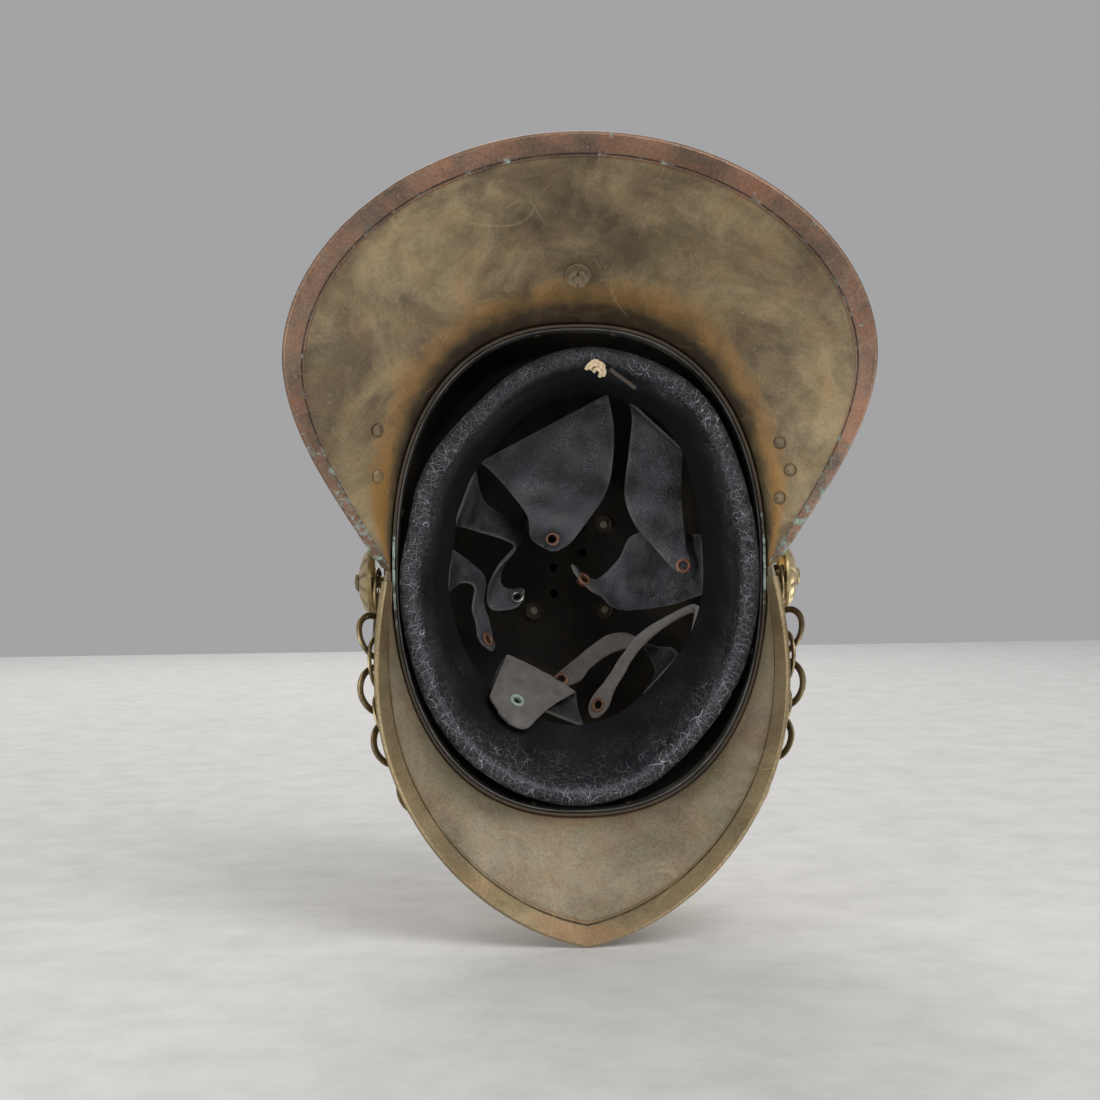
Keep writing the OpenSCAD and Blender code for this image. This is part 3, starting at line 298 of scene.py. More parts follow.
def new_piece(name, verts, faces, slot, *mats, body=ROOT, replaces=(), smooth=35.0, weld=False, **marks):
    """A piece from points in millimetres level on the rim, with its finishes and the marks they read."""
    mesh = bpy.data.meshes.new(name)
    points = [tuple(v) for v in to_row(np.asarray(verts))]
    mesh.from_pydata(points, [], [tuple(int(i) for i in f) for f in faces])
    mesh.validate()
    bm = bmesh.new()
    bm.from_mesh(mesh)
    for key, values in marks.items():
        set_mark(bm, key, values)
    if weld:
        bmesh.ops.remove_doubles(bm, verts=bm.verts, dist=0.001 * MM)
    bmesh.ops.recalc_face_normals(bm, faces=bm.faces)
    bm.to_mesh(mesh)
    bm.free()
    mesh.polygons.foreach_set("use_smooth", [True] * len(mesh.polygons))
    mesh.set_sharp_from_angle(angle=math.radians(smooth))
    obj = bpy.data.objects.new(name, mesh)
    bpy.context.scene.collection.objects.link(obj)
    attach(obj, body)
    if replaces:
        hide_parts(*replaces)
    return paint(obj, *mats)


def paint(obj, *mats):
    """Gives a piece its finishes; a new piece keeps the finish number that each face has."""
    if obj.data.materials:
        obj.data.materials.clear()
    for mat in mats:
        obj.data.materials.append(mat)
    return obj


def grid_faces(m, n, start=0, close_m=False, close_n=False):
    faces = []
    for i in range(m if close_m else m - 1):
        for j in range(n if close_n else n - 1):
            a, b = i * n + j, i * n + (j + 1) % n
            c, d = ((i + 1) % m) * n + (j + 1) % n, ((i + 1) % m) * n + j
            faces.append((start + a, start + b, start + c, start + d))
    return faces


def sheet_parts(outer, inner):
    """Points and faces of a closed sheet between two grids: its outer faces, inner faces, then its edge."""
    m, n = outer.shape[:2]
    h = m * n
    faces = grid_faces(m, n) + [f[::-1] for f in grid_faces(m, n, h)]
    loop = [(i, 0) for i in range(m)] + [(m - 1, j) for j in range(1, n)]
    loop += [(i, n - 1) for i in range(m - 2, -1, -1)] + [(0, j) for j in range(n - 2, 0, -1)]
    ids = [i * n + j for i, j in loop]
    for a, b in zip(ids, ids[1:] + ids[:1]):
        faces.append((a, b, h + b, h + a))
    return np.concatenate([outer.reshape(-1, 3), inner.reshape(-1, 3)]), faces


def round_sheet_parts(front, back, edges):
    """Points and faces between two grids whose rows are closed rings; edges are the rows that join them."""
    rings, steps = front.shape[:2]
    h = rings * steps
    faces = grid_faces(rings, steps, close_n=True) + grid_faces(rings, steps, h, close_n=True)
    for e in (ring * steps for ring in edges):
        faces += [(e + k, e + (k + 1) % steps, h + e + (k + 1) % steps, h + e + k) for k in range(steps)]
    return np.concatenate([front.reshape(-1, 3), back.reshape(-1, 3)]), faces


def two_faced(obj, outer_faces):
    """Outer faces of a sheet keep the first finish, inner and edge faces get the second."""
    index = np.ones(len(obj.data.polygons), np.int32)
    index[:outer_faces] = 0
    obj.data.polygons.foreach_set("material_index", index)


def lathe_parts(profile, steps, at, out, across, closed=False):
    """A profile of (radius, height) turned round out at the point at; a closed one also joins its ends."""
    side = np.cross(out, across)
    rows = []
    for k in range(steps):
        a = 2 * math.pi * k / steps
        ray = across * math.cos(a) + side * math.sin(a)
        rows.append([at + ray * r + out * h for r, h in profile])
    n = len(profile)
    faces = grid_faces(steps, n, close_m=True)
    if closed:
        ends = [(k * n, (k + 1) % steps * n) for k in range(steps)]
        faces += [(a + n - 1, b + n - 1, b, a) for a, b in ends]
    return np.array(rows).reshape(-1, 3), faces


def frame_at(out):
    out = unit(np.asarray(out, float))
    helper = np.array([0.0, 0, 1]) if abs(out[2]) < 0.9 else np.array([0.0, 1, 0])
    across = unit(np.cross(helper, out))
    return out, across


def join_parts(parts):
    verts, faces, start = [], [], 0
    for v, f in parts:
        verts.append(np.asarray(v))
        faces += [tuple(i + start for i in face) for face in f]
        start += len(v)
    return np.concatenate(verts), faces


def tube_parts(path, radius, sides_count=10, flat=1.0, ups=None, close=False):
    """A round or flattened tube along a path; flat is its thickness across over its width."""
    path = np.asarray(path, float)
    ahead = np.roll(path, -1, 0) - np.roll(path, 1, 0)
    if not close:
        ahead[0], ahead[-1] = path[1] - path[0], path[-1] - path[-2]
    ahead = unit(ahead)
    up = np.asarray(ups, float) if ups is not None else np.tile(frame_at(ahead[0])[1], (len(path), 1))
    up = unit(up - ahead * (up * ahead).sum(-1, keepdims=True))
    side = np.cross(ahead, up)
    a = 2 * math.pi * np.arange(sides_count) / sides_count
    r = np.broadcast_to(np.asarray(radius, float), (len(path),))
    rows = (path[:, None] + side[:, None] * (np.cos(a)[None, :, None] * r[:, None, None])
            + up[:, None] * (np.sin(a)[None, :, None] * r[:, None, None] * flat))
    faces = grid_faces(len(path), sides_count, close_m=close, close_n=True)
    verts = rows.reshape(-1, 3)
    if not close:
        n = len(verts)
        verts = np.concatenate([verts, path[:1], path[-1:]])
        last = (len(path) - 1) * sides_count
        for j in range(sides_count):
            k = (j + 1) % sides_count
            faces.append((n, j, k))
            faces.append((n + 1, last + k, last + j))
    return verts, faces


def smooth_step(x, low, high):
    k = np.clip((x - low) / (high - low), 0, 1)
    return k * k * (3 - 2 * k)


def bell(x, mid, width):
    """1 at mid, falling off to nothing within about two widths."""
    return np.exp(-((x - mid) / width) ** 2)


# Materials
class Wire:
    """A node's output that can be added, taken away or multiplied, or joined by the larger value."""

    def __init__(self, finish, socket):
        self.finish, self.socket = finish, socket

    def __add__(self, other):
        return self.finish.maths("ADD", self, other)

    def __sub__(self, other):
        return self.finish.maths("SUBTRACT", self, other)

    def __mul__(self, other):
        return self.finish.maths("MULTIPLY", self, other)

    def __or__(self, other):
        return self.finish.maths("MAXIMUM", self, other)


class Finish:
    """A Principled material with short calls for its nodes."""

    def __init__(self, name, **sockets):
        self.mat = bpy.data.materials.new(name)
        self.mat.use_nodes = True
        self.tree = self.mat.node_tree
        self.tree.nodes.clear()
        self.out = self.node("ShaderNodeOutputMaterial")
        self.bsdf = self.node("ShaderNodeBsdfPrincipled")
        self.tree.links.new(self.bsdf.outputs[0], self.out.inputs[0])
        self.set(**sockets)
        self.place = self.wire("ShaderNodeTexCoord", {}, "Object")

    def feed(self, socket, value):
        """Links a wire to a socket, or sets the socket to a number, a vector or a colour."""
        if isinstance(value, Wire):
            self.tree.links.new(value.socket, socket)
        elif hasattr(value, "__len__") and len(value) < len(socket.default_value):
            socket.default_value = (*value, 1)
        else:
            socket.default_value = value

    def set(self, **sockets):
        for key, value in sockets.items():
            self.feed(self.bsdf.inputs[key.replace("_", " ")], value)

    def node(self, kind, values=None, **props):
        node = self.tree.nodes.new(kind)
        for key, value in props.items():
            setattr(node, key, value)
        for key, value in (values or {}).items():
            self.feed(node.inputs[key], value)
        return node

    def wire(self, kind, values, output=0, **props):
        return Wire(self, self.node(kind, values, **props).outputs[output])

    def mark(self, name):
        return self.wire("ShaderNodeAttribute", {}, "Fac", attribute_name=name)

    def mapped(self, vector, **values):
        return self.wire("ShaderNodeMapping", {"Vector": vector, **values})

    def moved(self, step):
        return self.mapped(self.place, Location=(step, 0.7 * step, 1.3 * step))

    def warped(self, amount, scale, vector=None):
        """Coordinates pushed about by noise, so that cells lose their straight sides."""
        vector = vector or self.place
        noise = self.wire("ShaderNodeTexNoise", {"Vector": vector, "Scale": scale, "Detail": 2.0}, "Color")
        push = self.wire("ShaderNodeVectorMath", {0: noise, 1: (0.5, 0.5, 0.5)}, operation="SUBTRACT")
        push = self.wire("ShaderNodeVectorMath", {0: push, "Scale": amount}, operation="SCALE")
        return self.wire("ShaderNodeVectorMath", {0: vector, 1: push}, operation="ADD")

    def polar(self, radius):
        """Coordinates round the opening in metres: way round at a radius, distance out, height."""
        x, y, z = (Wire(self, o) for o in self.node("ShaderNodeSeparateXYZ", {0: self.place}).outputs)
        flat = self.wire("ShaderNodeCombineXYZ", {0: x, 1: y})
        out = self.wire("ShaderNodeVectorMath", {0: flat}, "Value", operation="LENGTH")
        way = self.maths("ARCTAN2", y, x) * radius
        return self.wire("ShaderNodeCombineXYZ", {0: way, 1: out, 2: z})

    def hairlines(self, scale, width, step):
        """Long thin curves where a smooth field passes its middle, kept in broken stretches."""
        place = self.moved(step)
        field = self.noise(scale, 0.6, 0.5, place)
        line = self.ramp(field, (0.5 - width, 0.0), (0.5, 1.0), (0.5 + width, 0.0))
        return line * self.ramp(self.noise(scale * 3, 2, 0.5, place), (0.55, 0.0), (0.62, 1.0))

    def noise(self, scale, detail=4.0, rough=0.55, vector=None, warp=0.0):
        values = {"Vector": vector or self.place, "Scale": scale, "Detail": detail, "Roughness": rough,
                  "Distortion": warp}
        return self.wire("ShaderNodeTexNoise", values, "Fac")

    def cells(self, scale, feature="F1", vector=None):
        values = {"Vector": vector or self.place, "Scale": scale}
        return self.wire("ShaderNodeTexVoronoi", values, "Distance", feature=feature)

    def borders(self, scale, vector=None):
        return self.cells(scale, "DISTANCE_TO_EDGE", vector)

    def ramp(self, value, *stops):
        """Maps a value through (place, level) stops."""
        node = self.node("ShaderNodeValToRGB", {"Fac": value})
        ramp = node.color_ramp
        while len(ramp.elements) < len(stops):
            ramp.elements.new(0.5)
        for element, (place, level) in zip(ramp.elements, stops):
            element.position = place
            element.color = (level, level, level, 1)
        return Wire(self, node.outputs["Color"])

    def maths(self, kind, a, b=0.0):
        return self.wire("ShaderNodeMath", {0: a, 1: b}, operation=kind)

    def mix(self, fac, a, b):
        return self.wire("ShaderNodeMix", {0: fac, 6: a, 7: b}, 2, data_type="RGBA")

    def blend(self, fac, a, b):
        return self.wire("ShaderNodeMix", {0: fac, 2: a, 3: b}, data_type="FLOAT")

    def bump(self, height, depth, under=None):
        """Relief with its depth in millimetres, over the relief under it."""
        values = {"Height": height, "Distance": depth * MM, "Strength": 1.0}
        if under is not None:
            values["Normal"] = under
        return self.wire("ShaderNodeBump", values)


def shade(colour, *factors):
    """A colour times one factor, or times a factor for each of red, green and blue."""
    factors = factors * 3 if len(factors) == 1 else factors
    return tuple(min(1.0, c * k) for c, k in zip(colour, factors))


VERDIGRIS = ((0.12, 0.19, 0.16), (0.36, 0.42, 0.36))


def brass(name, deep, light, warm, rough=(0.34, 0.56), green=0.0, metallic=0.92, age=0.3):
    """Aged brass from deep to light, which reads the marks warmth, grime with painted shade, rub and crust.
    """
    f = Finish(name, Metallic=metallic)
    # Clouds, two drifts of colour, and warmth near joints
    cloud = f.noise(24, 6, 0.62, warp=0.5)
    fine = f.noise(760, 6, 0.7)
    base = f.mix(f.ramp(cloud, (0.4, 0.0), (0.6, 1.0)), deep, light)
    for field, low, most, tint in ((f.noise(60, 5, 0.66, f.moved(0.3), 0.3), 0.46, 1.4, (0.92, 0.68, 0.55)),
                                   (f.noise(44, 6, 0.66, f.moved(0.7), 0.4), 0.5, 1.3, (0.72, 0.82, 0.68))):
        base = f.mix(f.ramp(field, (low, 0.0), (0.68, most * age)), base, shade(light, *tint))
    warmth = f.mark("warmth") + (cloud - 0.5) * 1.8
    base = f.mix(f.ramp(warmth, (0.25, 0.0), (0.85, 1.0)), base, warm)
    # Fine mottle, grime and painted shade, pits and rubbed places
    base = f.mix(f.ramp(fine, (0.3, 0.1 + age), (0.52, 0.0)), base, shade(deep, 0.6))
    base = f.mix(f.ramp(fine, (0.52, 0.0), (0.75, 0.8 * age)), base, shade(light, 1.35))
    # The mark for grime and shade darkens the colour: real grime in grooves and joints, and painted shade
    # where a piece asks for it
    grime = f.mark("grime") + (f.noise(90, 5, 0.65) - 0.5) * 0.7
    base = f.mix(f.ramp(grime, (0.2, 0.0), (0.75, 0.92)), base, shade(deep, 0.3, 0.27, 0.25))
    pits = f.ramp(f.cells(850), (0.1, 1.0), (0.22, 0.0)) * f.ramp(f.noise(70, 3), (0.5, 0.0), (0.6, age))
    base = f.mix(pits, base, shade(deep, 0.3))
    rub = f.ramp(f.mark("rub") + (fine - 0.5) * 0.5, (0.45, 0.0), (0.9, 1.0))
    base = f.mix(rub, base, shade(light, 1.55))
    # Verdigris in crusts and specks, and hair scratches
    crust = f.mark("crust") + (f.noise(170, 6, 0.7) - 0.5) * 1.3 + green
    specks = f.ramp(f.cells(170, vector=f.warped(0.002, 400)), (0.05, 1.0), (0.09, 0.0)) * f.ramp(
        f.noise(45, 3, 0.6, f.moved(1.9)), (0.52, 0.0), (0.62, 2.0 * age))
    crust = f.ramp(crust, (0.62, 0.0), (0.78, 1.0)) | specks
    base = f.mix(crust, base, f.mix(f.noise(520, 4), *VERDIGRIS))
    scratch = f.hairlines(13, 0.0003, 1.1) | f.hairlines(21, 0.0005, 2.3) | f.hairlines(34, 0.0009, 3.7)
    base = f.mix(scratch * 0.3, base, shade(light, 1.5, 1.42, 1.3))
    tone = f.blend(f.ramp(f.noise(46, 5, 0.7), (0.3, 0.0), (0.7, 1.0)), *rough) + crust * 0.3 - rub * 0.12
    relief = ((f.noise(9, 2), 0.9), (f.noise(45, 3), 0.25), (fine, 0.05), (scratch | pits, -0.05),
              (crust, 0.3))
    under = None
    for height, depth in relief:
        under = f.bump(height, depth, under)
    f.set(Base_Color=base, Roughness=tone, Normal=under,
          Metallic=f.ramp(crust, (0.0, metallic), (1.0, 0.05)))
    return f.mat


# Each finish: its name, then deep, light and warm colours, then the range of roughness
REAR_PATINA = brass("rear_patina", (0.086, 0.063, 0.034), (0.24, 0.182, 0.098), (0.25, 0.132, 0.035),
                    (0.48, 0.64), metallic=0.5, age=0.24)
FRONT_PATINA = brass("front_patina", (0.125, 0.1, 0.062), (0.235, 0.198, 0.133), (0.26, 0.15, 0.075),
                     (0.56, 0.72), green=0.05, metallic=0.45, age=0.42)
# The skull's inside: dark patina, made near black as painted shade inside the bowl
CROWN_SHADED_PATINA = brass("crown_patina_painted_shade", (0.012, 0.0095, 0.007), (0.034, 0.027, 0.019), (0.05, 0.035, 0.02),
                     (0.6, 0.8), metallic=0.35, age=0.2)
INNER_BRASS = brass("inner_brass", (0.09, 0.068, 0.038), (0.2, 0.155, 0.085), (0.16, 0.09, 0.04),
                    (0.5, 0.66), metallic=0.7)
SHELL = brass("shell_brass", (0.30, 0.225, 0.105), (0.52, 0.40, 0.19), (0.38, 0.24, 0.11), (0.27, 0.46),
              green=-0.04, age=0.22)
FRONT_EDGE_BRASS = brass("front_edge_brass", (0.12, 0.09, 0.045), (0.225, 0.175, 0.095), (0.26, 0.13, 0.065),
                         (0.45, 0.62), green=0.06, metallic=0.6, age=0.34)
REAR_EDGE_COPPER = brass("rear_edge_copper", (0.09, 0.06, 0.042), (0.215, 0.132, 0.086), (0.25, 0.1, 0.055),
                         (0.45, 0.62), green=0.2, metallic=0.55, age=0.5)
CHAIN = brass("chain_brass", (0.12, 0.09, 0.05), (0.29, 0.228, 0.125), (0.2, 0.125, 0.07), (0.32, 0.5))
GILT = brass("gilded_trim", (0.24, 0.18, 0.09), (0.44, 0.345, 0.18), (0.3, 0.18, 0.09), (0.3, 0.46),
             age=0.28)
FASTENER = brass("fastener_brass", (0.2, 0.155, 0.085), (0.38, 0.3, 0.17), (0.3, 0.19, 0.1), (0.36, 0.52),
                 green=0.03)
# Nuts and rivets inside the skull: near black, painted shade like the crown's inside
SHADED_DARK_FASTENER = brass("dark_fastener_painted_shade", (0.02, 0.016, 0.012), (0.07, 0.056, 0.038), (0.07, 0.045, 0.025),
                      (0.45, 0.62), metallic=0.7)
DULL_FASTENER = brass("dull_fastener", (0.14, 0.112, 0.07), (0.29, 0.24, 0.16), (0.22, 0.14, 0.07),
                      (0.42, 0.58), metallic=0.55)
TRIM = brass("copper_trim", (0.33, 0.17, 0.09), (0.6, 0.33, 0.19), (0.5, 0.25, 0.12), (0.26, 0.4))
COPPER = brass("copper_eyelet", (0.085, 0.045, 0.03), (0.24, 0.12, 0.078), (0.2, 0.085, 0.045), (0.45, 0.62),
               metallic=0.6, age=0.5)
STEEL = brass("steel_eyelet", (0.2, 0.2, 0.19), (0.42, 0.42, 0.4), (0.3, 0.26, 0.2), (0.28, 0.42))
CRUSTED = brass("crusted_eyelet", (0.1, 0.1, 0.08), (0.3, 0.3, 0.25), (0.2, 0.2, 0.16), (0.6, 0.8),
                green=0.42, metallic=0.3)


def leather_black():
    """Old black leather: a soft grain under a fine pale network, with longer cracks across the roll, a
    painted highlight along the roll's ridge and painted shade deep in the band.
    """
    f = Finish("cracked_leather", Specular_IOR_Level=0.17)
    grain = f.borders(760)
    round_way = f.warped(0.0035, 260, f.polar(0.095))
    across = f.mapped(round_way, Scale=(1, 0.35, 0.35))
    crackle = f.mark("crackle")
    worn = f.ramp(crackle + f.noise(55, 4, 0.6) * 0.9, (0.6, 0.0), (1.05, 1.0))
    deep_worn = f.ramp(crackle + f.noise(80, 3, 0.6, f.moved(0.4)) * 0.9, (0.82, 0.0), (1.0, 1.0))
    long = f.ramp(f.borders(210, across), (0.0, 1.0), (0.007, 0.6), (0.015, 0.0)) * deep_worn
    web = f.ramp(f.borders(330, f.warped(0.003, 300)), (0.0, 0.8), (0.014, 0.35), (0.034, 0.0)) * worn
    fine = f.ramp(f.borders(820, f.warped(0.0012, 700)), (0.0, 0.5), (0.06, 0.2), (0.12, 0.0)) * worn
    lines = long * 0.85 | web * 0.6 | fine * 0.17
    cloud = f.ramp(f.noise(35, 4), (0.35, 0.0), (0.7, 1.0))
    base = f.mix(cloud, (0.0045, 0.005, 0.0062), (0.011, 0.0122, 0.0145))
    # Pale scuffs: real wear, and on the roll a painted highlight along its ridge
    scuff = f.mark("scuff") * f.ramp(f.noise(240, 5, 0.7), (0.35, 0.3), (0.65, 1.0))
    base = f.mix(scuff, base, (0.15, 0.155, 0.165))
    base = f.mix(lines, base, (0.36, 0.37, 0.39))
    # Painted shade: the deep mark makes the leather near black down inside the band
    deep = f.mark("deep")
    base = f.mix(deep, base, (0.0025, 0.0025, 0.003))
    under = f.bump(f.ramp(grain, (0.0, 0.0), (0.3, 1.0)), 0.07)
    under = f.bump(f.noise(60, 4), 0.5, f.bump(lines, -0.12, under))
    f.set(Base_Color=base, Normal=under, Roughness=f.blend(f.noise(90, 3), 0.36, 0.58) + deep * 0.35)
    return f.mat


def leather_grain():
    """The tongues' smooth side: black with a pressed grain, paler at worn edges, with painted light and
    shade on folds and painted shade towards the root.
    """
    f = Finish("tongue_grain", Specular_IOR_Level=0.34)
    grain = f.borders(900, f.warped(0.0012, 500))
    # Painted light and shade: paler and darker patches as on folds, darker towards the root
    fold = f.mark("fold") * f.ramp(f.noise(80, 4), (0.3, 0.45), (0.7, 1.0))
    base = f.mix(fold, (0.0065, 0.007, 0.0085), (0.062, 0.067, 0.077))
    web = f.ramp(grain, (0.0, 0.5), (0.1, 0.15), (0.2, 0.0))
    web = web * f.ramp(f.noise(70, 4), (0.4, 0.0), (0.65, 1.0))
    base = f.mix(web, base, (0.16, 0.165, 0.18))
    base = f.mix(f.mark("scuff"), base, (0.15, 0.145, 0.14))
    under = f.bump(f.ramp(grain, (0.0, 0.0), (0.35, 1.0)), 0.2)
    under = f.bump(f.noise(150, 5, 0.65), 0.9, under)
    under = f.bump(f.noise(50, 3, 0.6, f.warped(0.01, 30)), 2.6, under)
    f.set(Base_Color=base, Roughness=f.blend(f.noise(140, 3), 0.4, 0.6), Normal=under)
    return f.mat


def leather_suede():
    """The tongues' flesh side: taupe and fibrous."""
    f = Finish("tongue_suede", Roughness=0.92, Specular_IOR_Level=0.2, Sheen_Weight=0.25,
               Sheen_Roughness=0.6)
    fibre = f.noise(2600, 5, 0.7)
    cloud = f.ramp(f.noise(110, 5, 0.65), (0.3, 0.0), (0.72, 1.0))
    base = f.mix(cloud, (0.06, 0.053, 0.047), (0.15, 0.134, 0.12))
    base = f.mix(f.ramp(fibre, (0.35, 0.4), (0.65, 0.0)), base, (0.05, 0.042, 0.036))
    under = f.bump(f.noise(70, 3), 1.0, f.bump(f.noise(300, 4), 0.4, f.bump(fibre, 0.2)))
    f.set(Base_Color=base, Normal=under)
    return f.mat


def cord_fibre(name, deep, light):
    f = Finish(name, Roughness=0.85, Specular_IOR_Level=0.2, Sheen_Weight=0.2)
    strand = f.noise(1800, 4, 0.6)
    base = f.mix(f.ramp(strand, (0.35, 0.0), (0.65, 1.0)), deep, light)
    f.set(Base_Color=base, Normal=f.bump(strand, 0.2))
    return f.mat


def dull_tin():
    f = Finish("hoop_tin", Metallic=0.85)
    base = f.mix(f.ramp(f.noise(60, 5), (0.35, 0.0), (0.7, 1.0)), (0.09, 0.085, 0.075), (0.2, 0.19, 0.17))
    tone = f.blend(f.noise(90, 4), 0.45, 0.7)
    f.set(Base_Color=base, Roughness=tone, Normal=f.bump(f.noise(500, 4), 0.06))
    return f.mat


LEATHER, GRAIN, SUEDE, TIN = leather_black(), leather_grain(), leather_suede(), dull_tin()
TAN_CORD = cord_fibre("tie_cord", (0.33, 0.24, 0.14), (0.66, 0.53, 0.36))
DARK_LACE = cord_fibre("lace", (0.02, 0.016, 0.014), (0.075, 0.055, 0.04))


# Skull halves, with their vents drilled through: where the vents are from the crown's middle, then sizes
VENT_SPOTS = ((8, 0), (8, 14), (-8, 8), (-8, -6), (8, -14), (-8, 22))
SEAM_GAP = 0.02
SKULL_COLS, SKULL_ROWS = 84, 40
DENT_SIZE, DENT_DEEP = 46, 0.22
BORE_L, BORE_STEPS = 12.0, 28
RIM_DIRT_H, SEAM_DIRT_W, CROWN_WORN_FROM = 9, 3, 0.55


def drill(obj, bores):
    """Cuts round holes: each bore is (point, direction, diameter, length) in millimetres."""
    parts = []
    for at, out, d, length in bores:
        out, across = frame_at(out)
        profile = [(0.0, -length / 2), (d / 2, -length / 2), (d / 2, length / 2), (0.0, length / 2)]
        parts.append(lathe_parts(profile, BORE_STEPS, np.asarray(at, float), out, across))
    verts, faces = join_parts(parts)
    mesh = bpy.data.meshes.new("cutter")
    mesh.from_pydata([tuple(v) for v in to_row(verts)], [], faces)
    bm = bmesh.new()
    bm.from_mesh(mesh)
    bmesh.ops.remove_doubles(bm, verts=bm.verts, dist=0.01 * MM)
    bmesh.ops.recalc_face_normals(bm, faces=bm.faces)
    bm.to_mesh(mesh)
    bm.free()
    cutter = bpy.data.objects.new("cutter", mesh)
    bpy.context.scene.collection.objects.link(cutter)
    cut = obj.modifiers.new("holes", "BOOLEAN")
    cut.operation, cut.object, cut.solver = "DIFFERENCE", cutter, "EXACT"
    graph = bpy.context.evaluated_depsgraph_get()
    done = bpy.data.meshes.new_from_object(obj.evaluated_get(graph))
    obj.modifiers.clear()
    obj.data = done
    bpy.data.objects.remove(cutter)


def crown_spot(x, y):
    return np.array([x, y, float(top_z(x, y))]), crown_normal(x, y)


def skull_half(name, side):
    u = np.radians(np.linspace(-90, 90, SKULL_COLS + 1))[:, None]
    lifts = np.radians(90) * np.linspace(0, 1, SKULL_ROWS + 1)[None, :] ** 0.94
    outer = skull_pt(u, lift_z(lifts, 0) + 0 * u, 0)
    inner = skull_pt(u, lift_z(lifts, -SHEET_T) + 0 * u, -SHEET_T)
    ripple = waves(outer, DENT_SIZE, 3)[..., None] * DENT_DEEP
    fade = np.clip(outer[..., 2:] / 30, 0, 1) * np.clip(outer[..., :1] / 8, 0, 1)
    inner = inner + unit(inner) * ripple * fade
    outer = outer + unit(outer) * ripple * fade * 0.3
    for sheet in (outer, inner):
        sheet[..., 0] += SEAM_GAP
        sheet[..., 0] *= side
    verts, faces = sheet_parts(outer, inner)
    x, y, z = verts.T
    rim = np.clip(1 - z / RIM_DIRT_H, 0, 1)
    seam = np.clip(1 - np.abs(x) / SEAM_DIRT_W, 0, 1)
    # The inner faces take the crown finish: dark patina with painted shade
    obj = new_piece(name + "_shell", verts, faces, "patina_brass", SHELL, CROWN_SHADED_PATINA, replaces=(name,),
                    warmth=0.25 + 0.5 * rim + 0.2 * seam,
                    rub=np.clip(z / SKULL_H - CROWN_WORN_FROM, 0, 1) * 0.5,
                    crust=0.3 * rim + 0.5 * bell(y, -4, 30) * rim)
    two_faced(obj, SKULL_COLS * SKULL_ROWS)
    drill(obj, [(*crown_spot(vx, vy), VENT_D, BORE_L) for vx, vy in VENT_SPOTS if vx * side > 0])


skull_half("skull_left", 1)
skull_half("skull_right", -1)


# Peaks and their folded edge strips
REAR_RIVETS = ((-0.66, 0.42), (-0.74, 0.50), (-0.80, 0.40), (0.62, 0.44), (0.73, 0.40))
REAR_COLS, FRONT_COLS, PEAK_ROWS = 170, 140, 26
PEAK_DENT, PEAK_DENT_DEEP, RIVET_BULGE, RIVET_BULGE_R = 52, 0.34, 0.4, 7


def peak_piece(name, rear):
    cols, rows = REAR_COLS if rear else FRONT_COLS, PEAK_ROWS
    p = np.linspace(1, -1, cols + 1)[:, None] + np.zeros((1, rows + 1))
    s = np.linspace(0, 1, rows + 1)[None, :] + np.zeros((cols + 1, 1))
    under = peak_pt(rear, p, s)
    n = peak_normal(rear, p, s)
    # Gentle dents, and a bulge round each rivet
    fade = smooth_step(s, 0.06, 0.25) * (1 - smooth_step(s, 0.78, 0.92))
    fade = fade * smooth_step(1 - np.abs(p), 0.02, 0.1)
    ripple = waves(under, PEAK_DENT, 11 if rear else 12) * PEAK_DENT_DEEP + waves(under, 19, 13) * 0.05
    for q, r in REAR_RIVETS if rear else ():
        at = peak_pt(True, np.array(q), np.array(r))
        ripple = ripple + RIVET_BULGE * bell(np.linalg.norm(under - at, axis=-1), 0, RIVET_BULGE_R)
    under = under + n * (ripple * fade)[..., None]
    verts, faces = sheet_parts(under + n * SHEET_T, under)
    # Wear and painted shade: a golden ring, painted shade in a dark flare round the opening and in darker
    # patches further out, grime under the strip, crust at joint and ears
    ear = smooth_step(np.abs(p), 0.55, 0.95)
    joint = 1 - smooth_step(s, 0.0, 0.07)
    crust = (0.55 if rear else 0.75) * joint * (0.35 + 0.65 * ear)
    crust = crust + 0.46 * ear * (1 - smooth_step(s, 0.05, 0.4))
    if rear:
        warmth = 0.08 + 0.8 * bell(s - 0.08 * ear, 0.31, 0.13) * (0.78 + 0.32 * ear)
        # Painted shade: darker near the opening and down the middle, and in two patches further out, in the
        # middle and on the right; both go into the mark for grime and shade
        flare_shade = 1 - smooth_step(s, 0.12, 0.36) + 0.75 * bell(p, 0, 0.5) * (1 - smooth_step(s, 0.22, 0.62))
        shaded = bell(p, 0, 0.42) * bell(s, 0.7, 0.16) + 0.8 * bell(p, -0.62, 0.1) * bell(s, 0.62, 0.12)
        grime = 0.6 * np.minimum(flare_shade, 1.25) + 0.42 * shaded
    else:
        warmth = 0.08 + 0.3 * (1 - smooth_step(s, 0.1, 0.35))
        grime = 0.3 * joint
        crust = crust + 0.16 * bell(p, 0, 0.3) * smooth_step(s, 0.55, 0.85)
    patina = REAR_PATINA if rear else FRONT_PATINA
    obj = new_piece(name + "_sheet", verts, faces, "patina_brass", SHELL, patina, replaces=(name,),
                    warmth=warmth, rub=0.1 * smooth_step(s, 0.7, 1), crust=crust,
                    grime=grime + 0.4 * bell(s, 0.9, 0.02))
    two_faced(obj, cols * rows)


STRIP_OVER, STRIP_LIP, GROOVE_DEEP, GROOVE_AT, GROOVE_W = 0.95, 0.12, 0.42, 6.75, 0.35
# Steps along each strip, and where its ends lie from the peak's middle at 0 to the ear at 1
REAR_STRIP, FRONT_STRIP = (260, 0.985), (200, 0.965)


